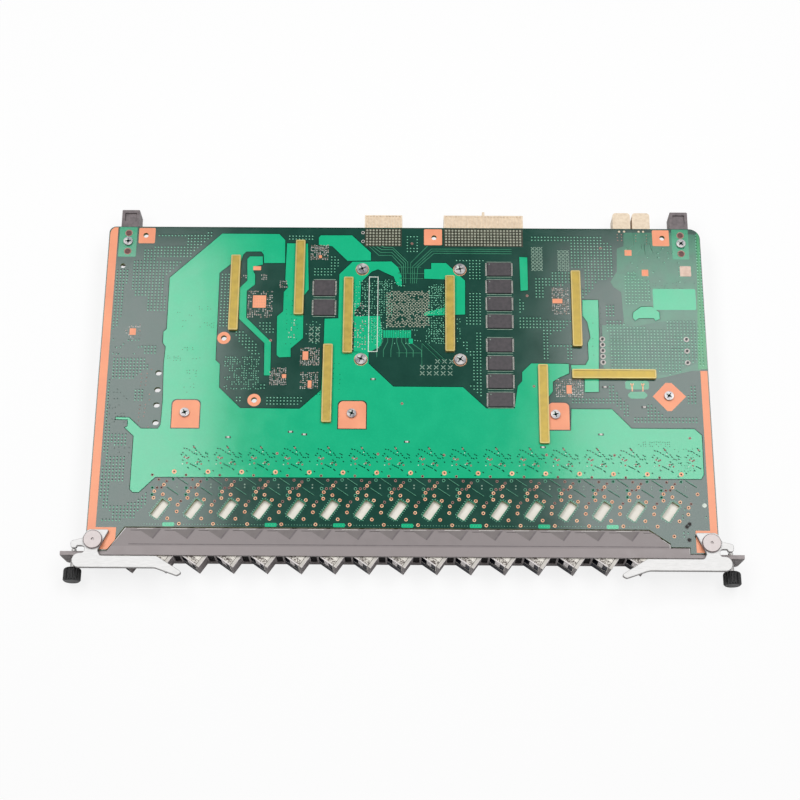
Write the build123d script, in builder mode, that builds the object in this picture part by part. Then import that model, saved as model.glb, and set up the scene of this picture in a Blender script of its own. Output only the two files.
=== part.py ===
"""Sixteen-port optical line card, lying with its solder side up, in millimetres.

+X runs to the right along the front panel, +Y runs back to the connectors and +Z is up.
The origin is on the table, under the middle of the card.  A "depth" is a distance measured
forward from the rear edge of the circuit board.
"""
import os
from math import cos, radians, sin, tan

from build123d import *

# Circuit board
board_width = 366.7
board_thickness = 2.4
board_side_inset = 2.4
board_front_inset = 16.8
board_step_inset = 6.3
board_left_corner_radius = 4.0
board_right_corner_radius = 7.0
cutout_left_x = -161.2
cutout_right_x = 143.5
cutout_step_x = 155.6
board_step_x = 166.8
tooling_hole_radius = 1.6
tooling_holes = [(-160.5, 6.0), (18.5, 6.7), (159.9, 6.3)]
oval_slot_length = 3.8
oval_slot_width = 3.2
oval_slot_x = -147.2
oval_slot_depths = [98.1, 109.0, 118.8, 130.0]
ring_hole_radius = 1.7
ring_holes = [(-108.9, 75.1), (-89.0, 115.3)]
pin_hole_radius = 0.8
corner_hole_radius = 1.6
corner_hole = (-173.4, 26.9)
pin_holes = [(165.4, 192.5), (166.8, 191.1), (166.3, 200.5),
             (133.5, 1.9), (136.6, 1.9), (145.6, 1.9), (148.4, 1.9)]

# Front panel, one casting with a top shelf, a wall and slanted fins
panel_length = 396.4
panel_height = 19.4
shelf_front_depth = 211.2
shelf_drop = 1.0
shelf_thickness = 1.4
shelf_gap = 0.5
band_raise = 0.35
band_end_x = 175.5
wall_setback = 0.3
wall_thickness = 2.3
ear_drop = 1.6
ear_taper = 1.4
ear_straight = 2.2
ear_corner_radius = 3.0
tooth_foot_z = 1.4
tooth_sill_depth = 6.0
lug_width = 10.4
lug_length = 9.0
lug_thickness = 4.0
pocket_side = 9.6
pocket_recess = 0.6
pocket_rear_gap = 1.2
light_slot_width = 3.8
light_slot_height = 12.2
light_slot_floor_z = 4.4
panel_edge_radius = 0.6

# Slanted optical module cages
port_count = 16
port_pitch = 19.86
port_slant = 35.0
first_tip_x = -158.0
tip_reach = 6.2
cage_width = 14.0
cage_height = 9.8
cage_length = 48.5
cage_wall = 0.5
cage_gap = 0.25
fin_thickness = 0.9
fin_length = 10.2
latch_slot_width = 4.0
latch_slot_length = 5.0
latch_slot_inset = 2.5
spring_finger_count = 5
spring_finger_width = 1.5
spring_finger_length = 4.6
spring_finger_inset = 0.9
spring_finger_height = 0.3
spring_finger_room = 0.1
window_length = 11.7
window_width = 5.2
window_corner = 0.6
window_offset_along = 37.3
window_offset_across = 2.2

# Ejector levers and their pivots
pivot_end_inset = 19.7
pivot_inset = 7.9
pivot_head_radius = 5.5
pivot_head_height = 1.4
pivot_head_edge = 0.4
pivot_shoulder_radius = 3.0
pivot_stem_radius = 2.0
pivot_socket_radius = 0.9
pivot_socket_depth = 1.0
lever_thickness = 2.4
lever_lift = 0.3
lever_bore_gap = 0.06
lever_edge = 0.3

# Captive thumbscrews
screw_end_inset = 6.5
screw_thread_radius = 1.5
screw_hole_gap = 0.3
knob_radius = 5.2
knob_length = 8.0
knob_standoff = 5.8
knob_edge = 0.8
knob_shoulder = 1.8
knob_flutes = 20
knob_flute_radius = 0.5
knob_bore_depth = 4.4
screw_tail = 2.5
clip_radius = 2.9
clip_thickness = 0.6
clip_setback = 0.3
clip_groove_gap = 0.1

# Backplane side
guide_x = 171.2
guide_width = 11.0
guide_height = 12.0
guide_reach = 12.8
guide_inset = 20.4
guide_bore_radius = 3.6
guide_bore_depth = 22.0
guide_bore_lead_in = 1.0
guide_recess_width = 7.3
guide_recess_length = 5.9
guide_recess_inset = 2.0
guide_recess_depth = 1.2
guide_peg_radius = 1.7
guide_peg_depths = [4.5, 17.0]
guide_screw_depth = 10.5
connector_reach = 10.0
connector_inset = 13.4
connector_height = 11.2
contact_pitch = 2.0
contact_slot_width = 1.1
contact_slot_height = 1.2
contact_slot_depth = 3.0
contact_rows = 4
connector_rib_gap = 0.8
connector_rib_recess = 0.7
small_connector_x = -13.0
small_connector_columns = 11
large_connector_x = 49.3
large_connector_columns = 24
connector_end_wall = 0.7
key_width = 1.6
key_reach = 2.4
power_connector_x = [135.5, 147.6]
power_connector_width = 10.9
power_connector_reach = 12.2
power_connector_inset = 9.0
power_connector_corner = 2.0
power_blade_width = 1.4
power_blade_height = 7.0
power_blade_depth = 8.0

# Pieces on the solder side
bar_length = 50.3
bar_width = 5.8
bar_height = 2.2
bar_rim = 0.8
bar_recess = 0.4
upright_bars = [(-103.6, 20.1), (-64.0, 9.6), (-33.8, 34.7), (-45.5, 79.4),
                (28.3, 33.4), (105.3, 29.7), (84.0, 92.0)]
level_bar_x = 126.6
level_bar_depth = 97.9
memory_x = 58.5
memory_depths = [28.4, 40.1, 51.6, 63.4, 78.9, 90.8, 102.6, 114.4]
memory_length = 14.4
memory_width = 9.2
memory_height = 1.1
flash_x = -48.6
flash_depths = [41.5, 54.7]
flash_length = 12.5
flash_width = 10.6
flash_height = 1.0
chip_edge = 0.2

# Pieces on the component side
heat_sink_x = 4.4
heat_sink_depth = 58.7
heat_sink_side = 70.0
heat_sink_screw_span = 60.0
heat_sink_base = 1.8
heat_sink_foot = 0.8
heat_sink_fins = 15
heat_sink_fin_thickness = 1.0
heat_sink_boss_radius = 3.5
processor_side = 35.0
processor_height = 2.4
processor_lid_side = 27.0
processor_lid_height = 0.7
converter_x = 145.9
converter_depth = 82.2
converter_length = 57.9
converter_width = 36.8
converter_height = 9.0
converter_pin_span = 50.8
converter_pin_radius = 0.8
converter_pin_reach = 1.0
converter_left_pins = 5
converter_left_pitch = 3.81
converter_right_pins = 3
converter_right_pitch = 7.62
stiffener_ends_x = (-136.0, 97.0)
stiffener_width = 8.0
stiffener_height = 8.0
stiffener_wall = 1.5
stiffener_screw_x = [-130.0, -30.5, 90.9]
stiffener_depth = 123.7
standoff_x = 158.9
standoff_depth = 111.5
standoff_across_flats = 5.5

# Fasteners
heat_screw_head_radius = 3.5
heat_screw_head_height = 1.6
heat_screw_radius = 1.4
heat_screw_grip = 3.0
board_screw_head_radius = 2.8
board_screw_head_height = 1.5
board_screw_radius = 1.25
board_screw_grip = 4.0
screw_bore_gap = 0.05
screw_socket_radius = 1.0
screw_socket_depth = 0.8

# Depths that follow the front of the panel, and the place of the thumbscrews
board_side_depth = shelf_front_depth - board_side_inset
board_front_depth = shelf_front_depth - board_front_inset
board_step_depth = shelf_front_depth - board_step_inset
tip_depth = shelf_front_depth + tip_reach
pivot_depth = shelf_front_depth - pivot_inset
screw_x = panel_length / 2 - screw_end_inset
pivot_x = panel_length / 2 - pivot_end_inset

# Levels, from the table up
board_top_z = panel_height + shelf_drop
board_bottom_z = board_top_z - board_thickness
shelf_top_z = panel_height
shelf_bottom_z = shelf_top_z - shelf_thickness
cage_top_z = min(board_bottom_z, shelf_bottom_z)
cage_bottom_z = cage_top_z - cage_height
screw_z = panel_height / 2
lever_bottom_z = board_top_z + lever_lift
lever_top_z = lever_bottom_z + lever_thickness

# The rear edge of the board is placed so that the card is centred front to back
knob_front_depth = shelf_front_depth - wall_setback + knob_standoff + knob_length
rear_y = (knob_front_depth - guide_reach) / 2
board_side_x = board_width / 2
wall_front_depth = shelf_front_depth - wall_setback
wall_rear_depth = wall_front_depth - wall_thickness
wall_front_y = rear_y - wall_front_depth
slant = radians(port_slant)
os.makedirs("parts", exist_ok=True)


def at(x, depth):
    """Place on the board from its X and its distance forward of the rear edge."""
    return (x, rear_y - depth)


def level(x, depth, z):
    """Horizontal plane through a place on the board."""
    return Plane(origin=(x, rear_y - depth, z), x_dir=(1, 0, 0), z_dir=(0, 0, 1))


def port_level(index, z):
    """Horizontal plane at a cage mouth, X across the mouth and Y along the cage."""
    tip_x = first_tip_x + index * port_pitch
    reach = cage_width / 2 + cage_gap + fin_thickness
    mouth_x = tip_x - reach * cos(slant)
    mouth_y = rear_y - tip_depth + reach * sin(slant)
    return Plane(origin=(mouth_x, mouth_y, z), x_dir=(cos(slant), -sin(slant), 0), z_dir=(0, 0, 1))


def save(piece, name):
    """Label a finished piece and write it."""
    piece.part.label = name
    export_step(piece.part, f"parts/{name}.step")


heat_screw_places = [
    (heat_sink_x + side * heat_sink_screw_span / 2, heat_sink_depth + row * heat_sink_screw_span / 2)
    for side in (-1, 1)
    for row in (-1, 1)
]
board_screw_places = [(x, stiffener_depth) for x in stiffener_screw_x]
board_screw_places += [(standoff_x, standoff_depth)]
board_screw_places += [(-guide_x, guide_screw_depth), (guide_x, guide_screw_depth)]
converter_left_rows = [
    converter_depth + (row - (converter_left_pins - 1) / 2) * converter_left_pitch
    for row in range(converter_left_pins)
]
converter_right_rows = [
    converter_depth + (row - (converter_right_pins - 1) / 2) * converter_right_pitch
    for row in range(converter_right_pins)
]
converter_pins = [(converter_x - converter_pin_span / 2, row) for row in converter_left_rows]
converter_pins += [(converter_x + converter_pin_span / 2, row) for row in converter_right_rows]

# Circuit board, cut back in the middle for the shelf of the front panel
cutout_slope = (board_side_depth - board_front_depth) * tan(slant)
cutout_step_depth = board_front_depth + (cutout_step_x - cutout_right_x) * tan(slant)
board_outline = [
    at(-board_side_x, 0),
    at(-board_side_x, board_side_depth),
    at(cutout_left_x - cutout_slope, board_side_depth),
    at(cutout_left_x, board_front_depth),
    at(cutout_right_x, board_front_depth),
    at(cutout_step_x, cutout_step_depth),
    at(cutout_step_x, board_step_depth),
    at(board_step_x, board_step_depth),
    at(board_step_x, board_side_depth),
    at(board_side_x, board_side_depth),
    at(board_side_x, 0),
]
with BuildPart() as circuit_board:
    with BuildSketch(Plane.XY.offset(board_bottom_z)) as outline:
        with BuildLine():
            Polyline(*board_outline, close=True)
        make_face()
        rear_corners = outline.vertices().group_by(Axis.Y)[-1].sort_by(Axis.X)
        fillet(rear_corners[0], board_left_corner_radius)
        rear_corners = outline.vertices().group_by(Axis.Y)[-1].sort_by(Axis.X)
        fillet(rear_corners[-1], board_right_corner_radius)
    extrude(amount=board_thickness)
    for index in range(port_count):
        with BuildSketch(port_level(index, board_bottom_z)):
            with Locations((window_offset_across, window_offset_along)):
                RectangleRounded(window_width, window_length, window_corner)
        extrude(amount=board_thickness, mode=Mode.SUBTRACT)
    with BuildSketch(Plane.XY.offset(board_bottom_z)):
        with Locations(*[at(*place) for place in tooling_holes]):
            Circle(tooling_hole_radius)
        with Locations(*[at(oval_slot_x, depth) for depth in oval_slot_depths]):
            SlotOverall(oval_slot_length, oval_slot_width)
        with Locations(*[at(*place) for place in ring_holes]):
            Circle(ring_hole_radius)
        with Locations(*[at(*place) for place in pin_holes]):
            Circle(pin_hole_radius)
        with Locations(at(*corner_hole)):
            Circle(corner_hole_radius)
        with Locations(at(-pivot_x, pivot_depth), at(pivot_x, pivot_depth)):
            Circle(pivot_stem_radius + screw_bore_gap)
        with Locations(*[at(*place) for place in heat_screw_places]):
            Circle(heat_screw_radius + screw_bore_gap)
        with Locations(*[at(*place) for place in board_screw_places]):
            Circle(board_screw_radius + screw_bore_gap)
        with Locations(*[at(*place) for place in converter_pins]):
            Circle(converter_pin_radius + screw_bore_gap)
        with Locations(*[at(side * guide_x, depth) for side in (-1, 1) for depth in guide_peg_depths]):
            Circle(guide_peg_radius + screw_bore_gap)
    extrude(amount=board_thickness, mode=Mode.SUBTRACT)
save(circuit_board, "circuit_board")

# Front panel
shelf_rear_depth = board_front_depth + shelf_gap
band_rear_depth = board_step_depth + shelf_gap
band_corner_depth = board_side_depth + shelf_gap
shelf_left_x = cutout_left_x + shelf_gap / cos(slant)
left_slope = (band_corner_depth - board_front_depth) * tan(slant)
band_slope = (band_rear_depth - board_front_depth) * tan(slant)
shelf_right_x = cutout_right_x - shelf_gap * tan(slant)
shelf_step_x = cutout_step_x - shelf_gap
shelf_step_depth = shelf_rear_depth + (shelf_step_x - shelf_right_x) * tan(slant)
shelf_outline = [
    at(shelf_left_x, shelf_rear_depth),
    at(shelf_right_x, shelf_rear_depth),
    at(shelf_step_x, shelf_step_depth),
    at(shelf_step_x, band_rear_depth),
    at(board_step_x - shelf_gap, band_rear_depth),
    at(board_step_x - shelf_gap, band_corner_depth),
    at(band_end_x, band_corner_depth),
    at(band_end_x, shelf_front_depth),
    at(-band_end_x, shelf_front_depth),
    at(-band_end_x, band_corner_depth),
    at(shelf_left_x - left_slope, band_corner_depth),
]
band_outline = [
    at(shelf_left_x - band_slope, band_rear_depth),
    at(board_step_x - shelf_gap, band_rear_depth),
    at(board_step_x - shelf_gap, band_corner_depth),
    at(band_end_x, band_corner_depth),
    at(band_end_x, shelf_front_depth),
    at(-band_end_x, shelf_front_depth),
    at(-band_end_x, band_corner_depth),
    at(shelf_left_x - left_slope, band_corner_depth),
]
ear_top_z = panel_height - ear_drop
wall_outline = [
    (-panel_length / 2, ear_top_z),
    (-band_end_x, ear_top_z),
    (-band_end_x, panel_height),
    (band_end_x, panel_height),
    (band_end_x, ear_top_z),
    (panel_length / 2, ear_top_z),
    (panel_length / 2, ear_top_z - ear_straight),
    (panel_length / 2 - ear_taper, 0),
    (-panel_length / 2 + ear_taper, 0),
    (-panel_length / 2, ear_top_z - ear_straight),
]
with BuildPart() as front_panel:
    with BuildSketch(Plane.XZ.offset(-wall_front_y)) as wall_sketch:
        with BuildLine():
            Polyline(*wall_outline, close=True)
        make_face()
        fillet(wall_sketch.vertices().group_by(Axis.Y)[0], ear_corner_radius)
        with Locations((-screw_x, screw_z), (screw_x, screw_z)):
            Circle(screw_thread_radius + screw_hole_gap, mode=Mode.SUBTRACT)
    extrude(amount=-wall_thickness)
    for index in range(port_count):
        with BuildSketch(port_level(index, cage_bottom_z - cage_gap)):
            with Locations((0, cage_length / 2)):
                Rectangle(cage_width + 2 * cage_gap, cage_length)
        extrude(amount=cage_height + cage_gap, mode=Mode.SUBTRACT)
    for index in range(port_count):
        fin_middle = cage_width / 2 + cage_gap + fin_thickness / 2
        with BuildSketch(port_level(index, tooth_foot_z)):
            with Locations((fin_middle, fin_length / 2)):
                Rectangle(fin_thickness, fin_length)
        extrude(amount=cage_top_z - tooth_foot_z)
        with BuildSketch(port_level(index, tooth_foot_z)):
            with Locations((cage_gap, tooth_sill_depth / 2)):
                Rectangle(cage_width + cage_gap, tooth_sill_depth)
        extrude(amount=cage_bottom_z - cage_gap - tooth_foot_z)
    with BuildSketch(Plane.XY.offset(shelf_bottom_z)):
        with BuildLine():
            Polyline(*shelf_outline, close=True)
        make_face()
    extrude(amount=shelf_thickness)
    with BuildSketch(Plane.XY.offset(shelf_top_z)) as band_sketch:
        with BuildLine():
            Polyline(*band_outline, close=True)
        make_face()
    extrude(amount=band_raise)
    for index in range(port_count):
        with BuildSketch(port_level(index, cage_top_z)):
            with Locations((0, (spring_finger_inset + spring_finger_length) / 2)):
                Rectangle(
                    cage_width + 2 * cage_gap,
                    spring_finger_inset + spring_finger_length + 2 * spring_finger_room,
                )
        extrude(amount=spring_finger_height + spring_finger_room, mode=Mode.SUBTRACT)
    pocket_peak = pocket_side * sin(slant)
    for index in range(port_count):
        pocket_x = first_tip_x + index * port_pitch + pocket_side * cos(slant)
        peak_depth = shelf_rear_depth + pocket_rear_gap + pocket_peak
        with BuildSketch(level(pocket_x, peak_depth, shelf_top_z)):
            Polygon(
                (0, 0),
                (pocket_peak * tan(slant), pocket_peak),
                (-pocket_side * cos(slant), pocket_peak),
                align=None,
            )
        extrude(amount=-pocket_recess, mode=Mode.SUBTRACT)
    slot_centre_z = light_slot_floor_z + light_slot_height / 2
    slot_shift = (tip_depth - wall_front_depth) * tan(slant) + fin_thickness / cos(slant)
    slot_x = [
        first_tip_x + index * port_pitch + slot_shift + light_slot_width / 2
        for index in range(port_count)
    ]
    with BuildSketch(Plane.XZ.offset(-wall_front_y)):
        with Locations(*[(x, slot_centre_z) for x in slot_x]):
            Rectangle(light_slot_width, light_slot_height)
    extrude(amount=-wall_thickness, mode=Mode.SUBTRACT)
    for side in (-1, 1):
        with BuildSketch(Plane.XY.offset(board_bottom_z - lug_thickness)):
            with Locations(at(side * pivot_x, wall_rear_depth - lug_length / 2)):
                Rectangle(lug_width, lug_length)
            with Locations(at(side * pivot_x, pivot_depth)):
                Circle(pivot_stem_radius + screw_bore_gap, mode=Mode.SUBTRACT)
        extrude(amount=lug_thickness)
save(front_panel, "front_panel")

# Sheet metal cages that hold the optical modules
for index in range(port_count):
    with BuildPart() as cage:
        with BuildSketch(port_level(index, cage_bottom_z)):
            with Locations((0, cage_length / 2)):
                Rectangle(cage_width, cage_length)
        extrude(amount=cage_height)
        with BuildSketch(port_level(index, cage_bottom_z + cage_wall)):
            with Locations((0, (cage_length - cage_wall) / 2)):
                Rectangle(cage_width - 2 * cage_wall, cage_length - cage_wall)
        extrude(amount=cage_height - 2 * cage_wall, mode=Mode.SUBTRACT)
        with BuildSketch(port_level(index, cage_bottom_z)):
            with Locations((0, latch_slot_inset + latch_slot_length / 2)):
                Rectangle(latch_slot_width, latch_slot_length)
        extrude(amount=cage_wall, mode=Mode.SUBTRACT)
        with BuildSketch(port_level(index, cage_top_z)):
            with Locations((0, spring_finger_inset + spring_finger_length / 2)):
                with GridLocations(cage_width / spring_finger_count, 0, spring_finger_count, 1):
                    Rectangle(spring_finger_width, spring_finger_length)
        extrude(amount=spring_finger_height)
    save(cage, f"sfp_cage_{index + 1:02d}")

# Ejector levers, flat plates with a claw, a heel and a long finger arm
lever_corners = [
    (9.0, 6.4, 0.8),
    (-3.6, 6.4, 3.0),
    (-6.2, 1.1, 1.0),
    (-12.9, -0.5, 1.7),
    (-12.6, -4.9, 1.4),
    (-9.4, -4.7, 0.8),
    (-9.0, -3.4, 0.6),
    (-4.8, -3.4, 1.9),
    (-4.6, -7.7, 1.7),
    (-11.5, -7.7, 4.2),
    (-11.5, -16.3, 4.2),
    (36.4, -16.3, 8.0),
    (49.4, -20.9, 1.1),
    (52.9, -19.1, 1.2),
    (37.2, -9.3, 3.0),
    (4.6, -9.3, 1.5),
    (2.9, -6.2, 1.5),
]
for name, side in (("left", 1), ("right", -1)):
    corners = [(side * x, y) for x, y, radius in lever_corners]
    with BuildPart() as lever:
        with BuildSketch(level(-side * pivot_x, pivot_depth, lever_bottom_z)):
            with BuildLine():
                FilletPolyline(*corners, radius=[radius for x, y, radius in lever_corners], close=True)
            make_face()
            Circle(pivot_shoulder_radius + lever_bore_gap, mode=Mode.SUBTRACT)
        extrude(amount=lever_thickness)
        chamfer(lever.faces().sort_by(Axis.Z)[-1].outer_wire().edges(), lever_edge)
    save(lever, f"{name}_ejector_lever")

    # Headed pivot that is riveted through the board into the lug of the panel
    head_z = lever_top_z + lever_lift
    stem_foot_z = board_bottom_z - lug_thickness
    with BuildPart() as pivot:
        with BuildSketch(level(-side * pivot_x, pivot_depth, stem_foot_z)):
            Circle(pivot_stem_radius)
        extrude(amount=board_top_z - stem_foot_z)
        with BuildSketch(level(-side * pivot_x, pivot_depth, board_top_z)):
            Circle(pivot_shoulder_radius)
        extrude(amount=head_z - board_top_z)
        with BuildSketch(level(-side * pivot_x, pivot_depth, head_z)):
            Circle(pivot_head_radius)
        extrude(amount=pivot_head_height)
        chamfer(pivot.faces().sort_by(Axis.Z)[-1].edges(), pivot_head_edge)
        with BuildSketch(level(-side * pivot_x, pivot_depth, head_z + pivot_head_height)):
            Circle(pivot_socket_radius)
        extrude(amount=-pivot_socket_depth, mode=Mode.SUBTRACT)
    save(pivot, f"{name}_lever_pivot")

# Captive thumbscrews, each a fluted knob on a steel screw with a retaining clip
knob_rear_y = wall_front_y - knob_standoff
knob_front_y = knob_rear_y - knob_length
clip_front_y = rear_y - wall_rear_depth + clip_setback
groove_rear_y = clip_front_y + clip_thickness + clip_groove_gap
groove_radius = screw_thread_radius - 2 * clip_groove_gap
tail_y = groove_rear_y + screw_tail
for name, side in (("left", -1), ("right", 1)):
    with BuildPart() as knob:
        with BuildSketch(Plane.XZ.offset(-knob_rear_y)):
            with Locations((side * screw_x, screw_z)):
                Circle(knob_radius)
        extrude(amount=knob_length)
        fillet(knob.faces().sort_by(Axis.Y)[-1].edges(), knob_shoulder)
        chamfer(knob.faces().sort_by(Axis.Y)[0].edges(), knob_edge)
        with BuildSketch(Plane.XZ.offset(-knob_rear_y)):
            with Locations((side * screw_x, screw_z)):
                with PolarLocations(knob_radius, knob_flutes):
                    Circle(knob_flute_radius)
        extrude(amount=knob_length, mode=Mode.SUBTRACT)
        with BuildSketch(Plane.XZ.offset(-knob_rear_y)):
            with Locations((side * screw_x, screw_z)):
                Circle(screw_thread_radius)
        extrude(amount=knob_bore_depth, mode=Mode.SUBTRACT)
    save(knob, f"{name}_thumbscrew_knob")

    with BuildPart() as shank:
        with BuildSketch(Plane.XZ.offset(-(knob_rear_y - knob_bore_depth))):
            with Locations((side * screw_x, screw_z)):
                Circle(screw_thread_radius)
        extrude(amount=-(tail_y - knob_rear_y + knob_bore_depth))
        chamfer(shank.faces().sort_by(Axis.Y)[-1].edges(), clip_groove_gap * 4)
        with BuildSketch(Plane.XZ.offset(-(clip_front_y - clip_groove_gap))):
            with Locations((side * screw_x, screw_z)):
                Circle(2 * screw_thread_radius)
                Circle(groove_radius, mode=Mode.SUBTRACT)
        extrude(amount=-(groove_rear_y - clip_front_y + clip_groove_gap), mode=Mode.SUBTRACT)
    save(shank, f"{name}_thumbscrew_shank")

    with BuildPart() as clip:
        with BuildSketch(Plane.XZ.offset(-clip_front_y)):
            with Locations((side * screw_x, screw_z)):
                Circle(clip_radius)
                Circle(groove_radius + clip_groove_gap / 2, mode=Mode.SUBTRACT)
        extrude(amount=-clip_thickness)
    save(clip, f"{name}_screw_clip")

# Guide sockets that receive the alignment pins of the backplane
for name, side in (("left", -1), ("right", 1)):
    guide_middle = (guide_inset - guide_reach) / 2
    with BuildPart() as guide:
        with BuildSketch(level(side * guide_x, guide_middle, board_bottom_z - guide_height)):
            Rectangle(guide_width, guide_inset + guide_reach)
        extrude(amount=guide_height)
        fillet(guide.edges().filter_by(Axis.Z), panel_edge_radius)
        with BuildSketch(Plane.XZ.offset(-(rear_y + guide_reach))):
            with Locations((side * guide_x, board_bottom_z - guide_height / 2)):
                Circle(guide_bore_radius)
        extrude(amount=guide_bore_depth, mode=Mode.SUBTRACT)
        chamfer(
            guide.faces().sort_by(Axis.Y)[-1].edges().filter_by(GeomType.CIRCLE),
            guide_bore_lead_in,
        )
        recess_middle = guide_recess_inset + guide_recess_length / 2 - guide_reach
        with BuildSketch(level(side * guide_x, recess_middle, board_bottom_z)):
            Rectangle(guide_recess_width, guide_recess_length)
        extrude(amount=-guide_recess_depth, mode=Mode.SUBTRACT)
        with BuildSketch(Plane.XY.offset(board_bottom_z)):
            with Locations(*[at(side * guide_x, depth) for depth in guide_peg_depths]):
                Circle(guide_peg_radius)
        extrude(amount=board_thickness / 2)
        with BuildSketch(level(side * guide_x, guide_screw_depth, board_bottom_z)):
            Circle(board_screw_radius + screw_bore_gap)
        extrude(amount=-board_screw_grip, mode=Mode.SUBTRACT)
    save(guide, f"{name}_guide_socket")

# Backplane signal connectors, with a window for each contact and a rib over each column
connector_middle = (connector_inset - connector_reach) / 2
connector_bottom_z = board_bottom_z - connector_height
for name, middle_x, columns in (
    ("small", small_connector_x, small_connector_columns),
    ("large", large_connector_x, large_connector_columns),
):
    column_x = [middle_x + (column - (columns - 1) / 2) * contact_pitch for column in range(columns)]
    width = columns * contact_pitch + 2 * connector_end_wall
    row_step = connector_height / contact_rows
    row_z = [connector_bottom_z + (row + 0.5) * row_step for row in range(contact_rows)]
    with BuildPart() as connector:
        with BuildSketch(level(middle_x, connector_middle, connector_bottom_z)):
            Rectangle(width, connector_inset + connector_reach)
        extrude(amount=connector_height)
        with BuildSketch(Plane.XZ.offset(-(rear_y + connector_reach))):
            with Locations(*[(x, z) for x in column_x for z in row_z]):
                Rectangle(contact_slot_width, contact_slot_height)
        extrude(amount=contact_slot_depth, mode=Mode.SUBTRACT)
        with BuildSketch(Plane.XY.offset(board_bottom_z)):
            with Locations(*[at(x, -connector_reach / 2) for x in column_x]):
                Rectangle(contact_pitch - connector_rib_gap, connector_reach - 2 * connector_end_wall)
        extrude(amount=-connector_rib_recess, mode=Mode.SUBTRACT)
        if name == "large":
            with BuildSketch(level(middle_x, -connector_reach - key_reach / 2, connector_bottom_z)):
                Rectangle(key_width, key_reach)
            extrude(amount=connector_height)
    save(connector, f"{name}_backplane_connector")

# Power connectors
power_middle = (power_connector_inset - power_connector_reach) / 2
for name, middle_x in zip(("inner", "outer"), power_connector_x):
    with BuildPart() as power:
        with BuildSketch(level(middle_x, power_middle, connector_bottom_z)):
            Rectangle(power_connector_width, power_connector_inset + power_connector_reach)
        extrude(amount=connector_height)
        rear_edges = power.edges().filter_by(Axis.Z).group_by(Axis.Y)[-1]
        fillet(rear_edges, power_connector_corner)
        blade_z = connector_bottom_z + connector_height / 2
        with BuildSketch(Plane.XZ.offset(-(rear_y + power_connector_reach))):
            with GridLocations(power_connector_width / 2, 0, 2, 1):
                with Locations((middle_x, blade_z)):
                    Rectangle(power_blade_width, power_blade_height)
        extrude(amount=power_blade_depth, mode=Mode.SUBTRACT)
    save(power, f"{name}_power_connector")

# Spacer bars on the solder side, each with a raised rim
bar_places = [(x, depth + bar_length / 2, bar_width, bar_length) for x, depth in upright_bars]
bar_places += [(level_bar_x, level_bar_depth, bar_length, bar_width)]
for index, (x, depth, across, along) in enumerate(bar_places):
    with BuildPart() as bar:
        with BuildSketch(level(x, depth, board_top_z)):
            RectangleRounded(across, along, bar_rim)
        extrude(amount=bar_height)
        with BuildSketch(level(x, depth, board_top_z + bar_height)):
            RectangleRounded(across - 2 * bar_rim, along - 2 * bar_rim, bar_rim / 2)
        extrude(amount=-bar_recess, mode=Mode.SUBTRACT)
    save(bar, f"spacer_bar_{index + 1}")

# Memory and flash chips on the solder side
chips = [("memory_chip", memory_x, depth, memory_length, memory_width, memory_height)
         for depth in memory_depths]
chips += [("flash_chip", flash_x, depth, flash_length, flash_width, flash_height)
          for depth in flash_depths]
counts = {"memory_chip": 0, "flash_chip": 0}
for kind, x, depth, length, width, height in chips:
    counts[kind] += 1
    with BuildPart() as chip:
        with BuildSketch(level(x, depth, board_top_z)):
            Rectangle(length, width)
        extrude(amount=height)
        chamfer(chip.faces().sort_by(Axis.Z)[-1].edges(), chip_edge)
    save(chip, f"{kind}_{counts[kind]}")

# Processor package and its heat sink on the component side
sink_top_z = board_bottom_z - processor_height - processor_lid_height
with BuildPart() as processor:
    with BuildSketch(level(heat_sink_x, heat_sink_depth, board_bottom_z)):
        Rectangle(processor_side, processor_side)
    extrude(amount=-processor_height)
    with BuildSketch(level(heat_sink_x, heat_sink_depth, board_bottom_z - processor_height)):
        Rectangle(processor_lid_side, processor_lid_side)
    extrude(amount=-processor_lid_height)
save(processor, "processor_package")

fin_pitch = (heat_sink_side - heat_sink_fin_thickness) / (heat_sink_fins - 1)
with BuildPart() as heat_sink:
    with BuildSketch(level(heat_sink_x, heat_sink_depth, sink_top_z)):
        Rectangle(heat_sink_side, heat_sink_side)
    extrude(amount=-heat_sink_base)
    with BuildSketch(level(heat_sink_x, heat_sink_depth, sink_top_z - heat_sink_base)):
        with GridLocations(fin_pitch, 0, heat_sink_fins, 1):
            Rectangle(heat_sink_fin_thickness, heat_sink_side)
    extrude(amount=-(sink_top_z - heat_sink_base - heat_sink_foot))
    with BuildSketch(Plane.XY.offset(board_bottom_z)):
        with Locations(*[at(*place) for place in heat_screw_places]):
            Circle(heat_sink_boss_radius)
    extrude(amount=-(board_bottom_z - sink_top_z))
    with BuildSketch(Plane.XY.offset(board_bottom_z)):
        with Locations(*[at(*place) for place in heat_screw_places]):
            Circle(heat_screw_radius + screw_bore_gap)
    extrude(amount=-heat_screw_grip, mode=Mode.SUBTRACT)
save(heat_sink, "heat_sink")

with BuildPart() as heat_screws:
    with BuildSketch(Plane.XY.offset(board_bottom_z - heat_screw_grip)):
        with Locations(*[at(*place) for place in heat_screw_places]):
            Circle(heat_screw_radius)
    extrude(amount=heat_screw_grip + board_thickness)
    with BuildSketch(Plane.XY.offset(board_top_z)):
        with Locations(*[at(*place) for place in heat_screw_places]):
            Circle(heat_screw_head_radius)
    extrude(amount=heat_screw_head_height)
    with BuildSketch(Plane.XY.offset(board_top_z + heat_screw_head_height)):
        with Locations(*[at(*place) for place in heat_screw_places]):
            RegularPolygon(screw_socket_radius, 6)
    extrude(amount=-screw_socket_depth, mode=Mode.SUBTRACT)
save(heat_screws, "heat_sink_screws")

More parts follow.
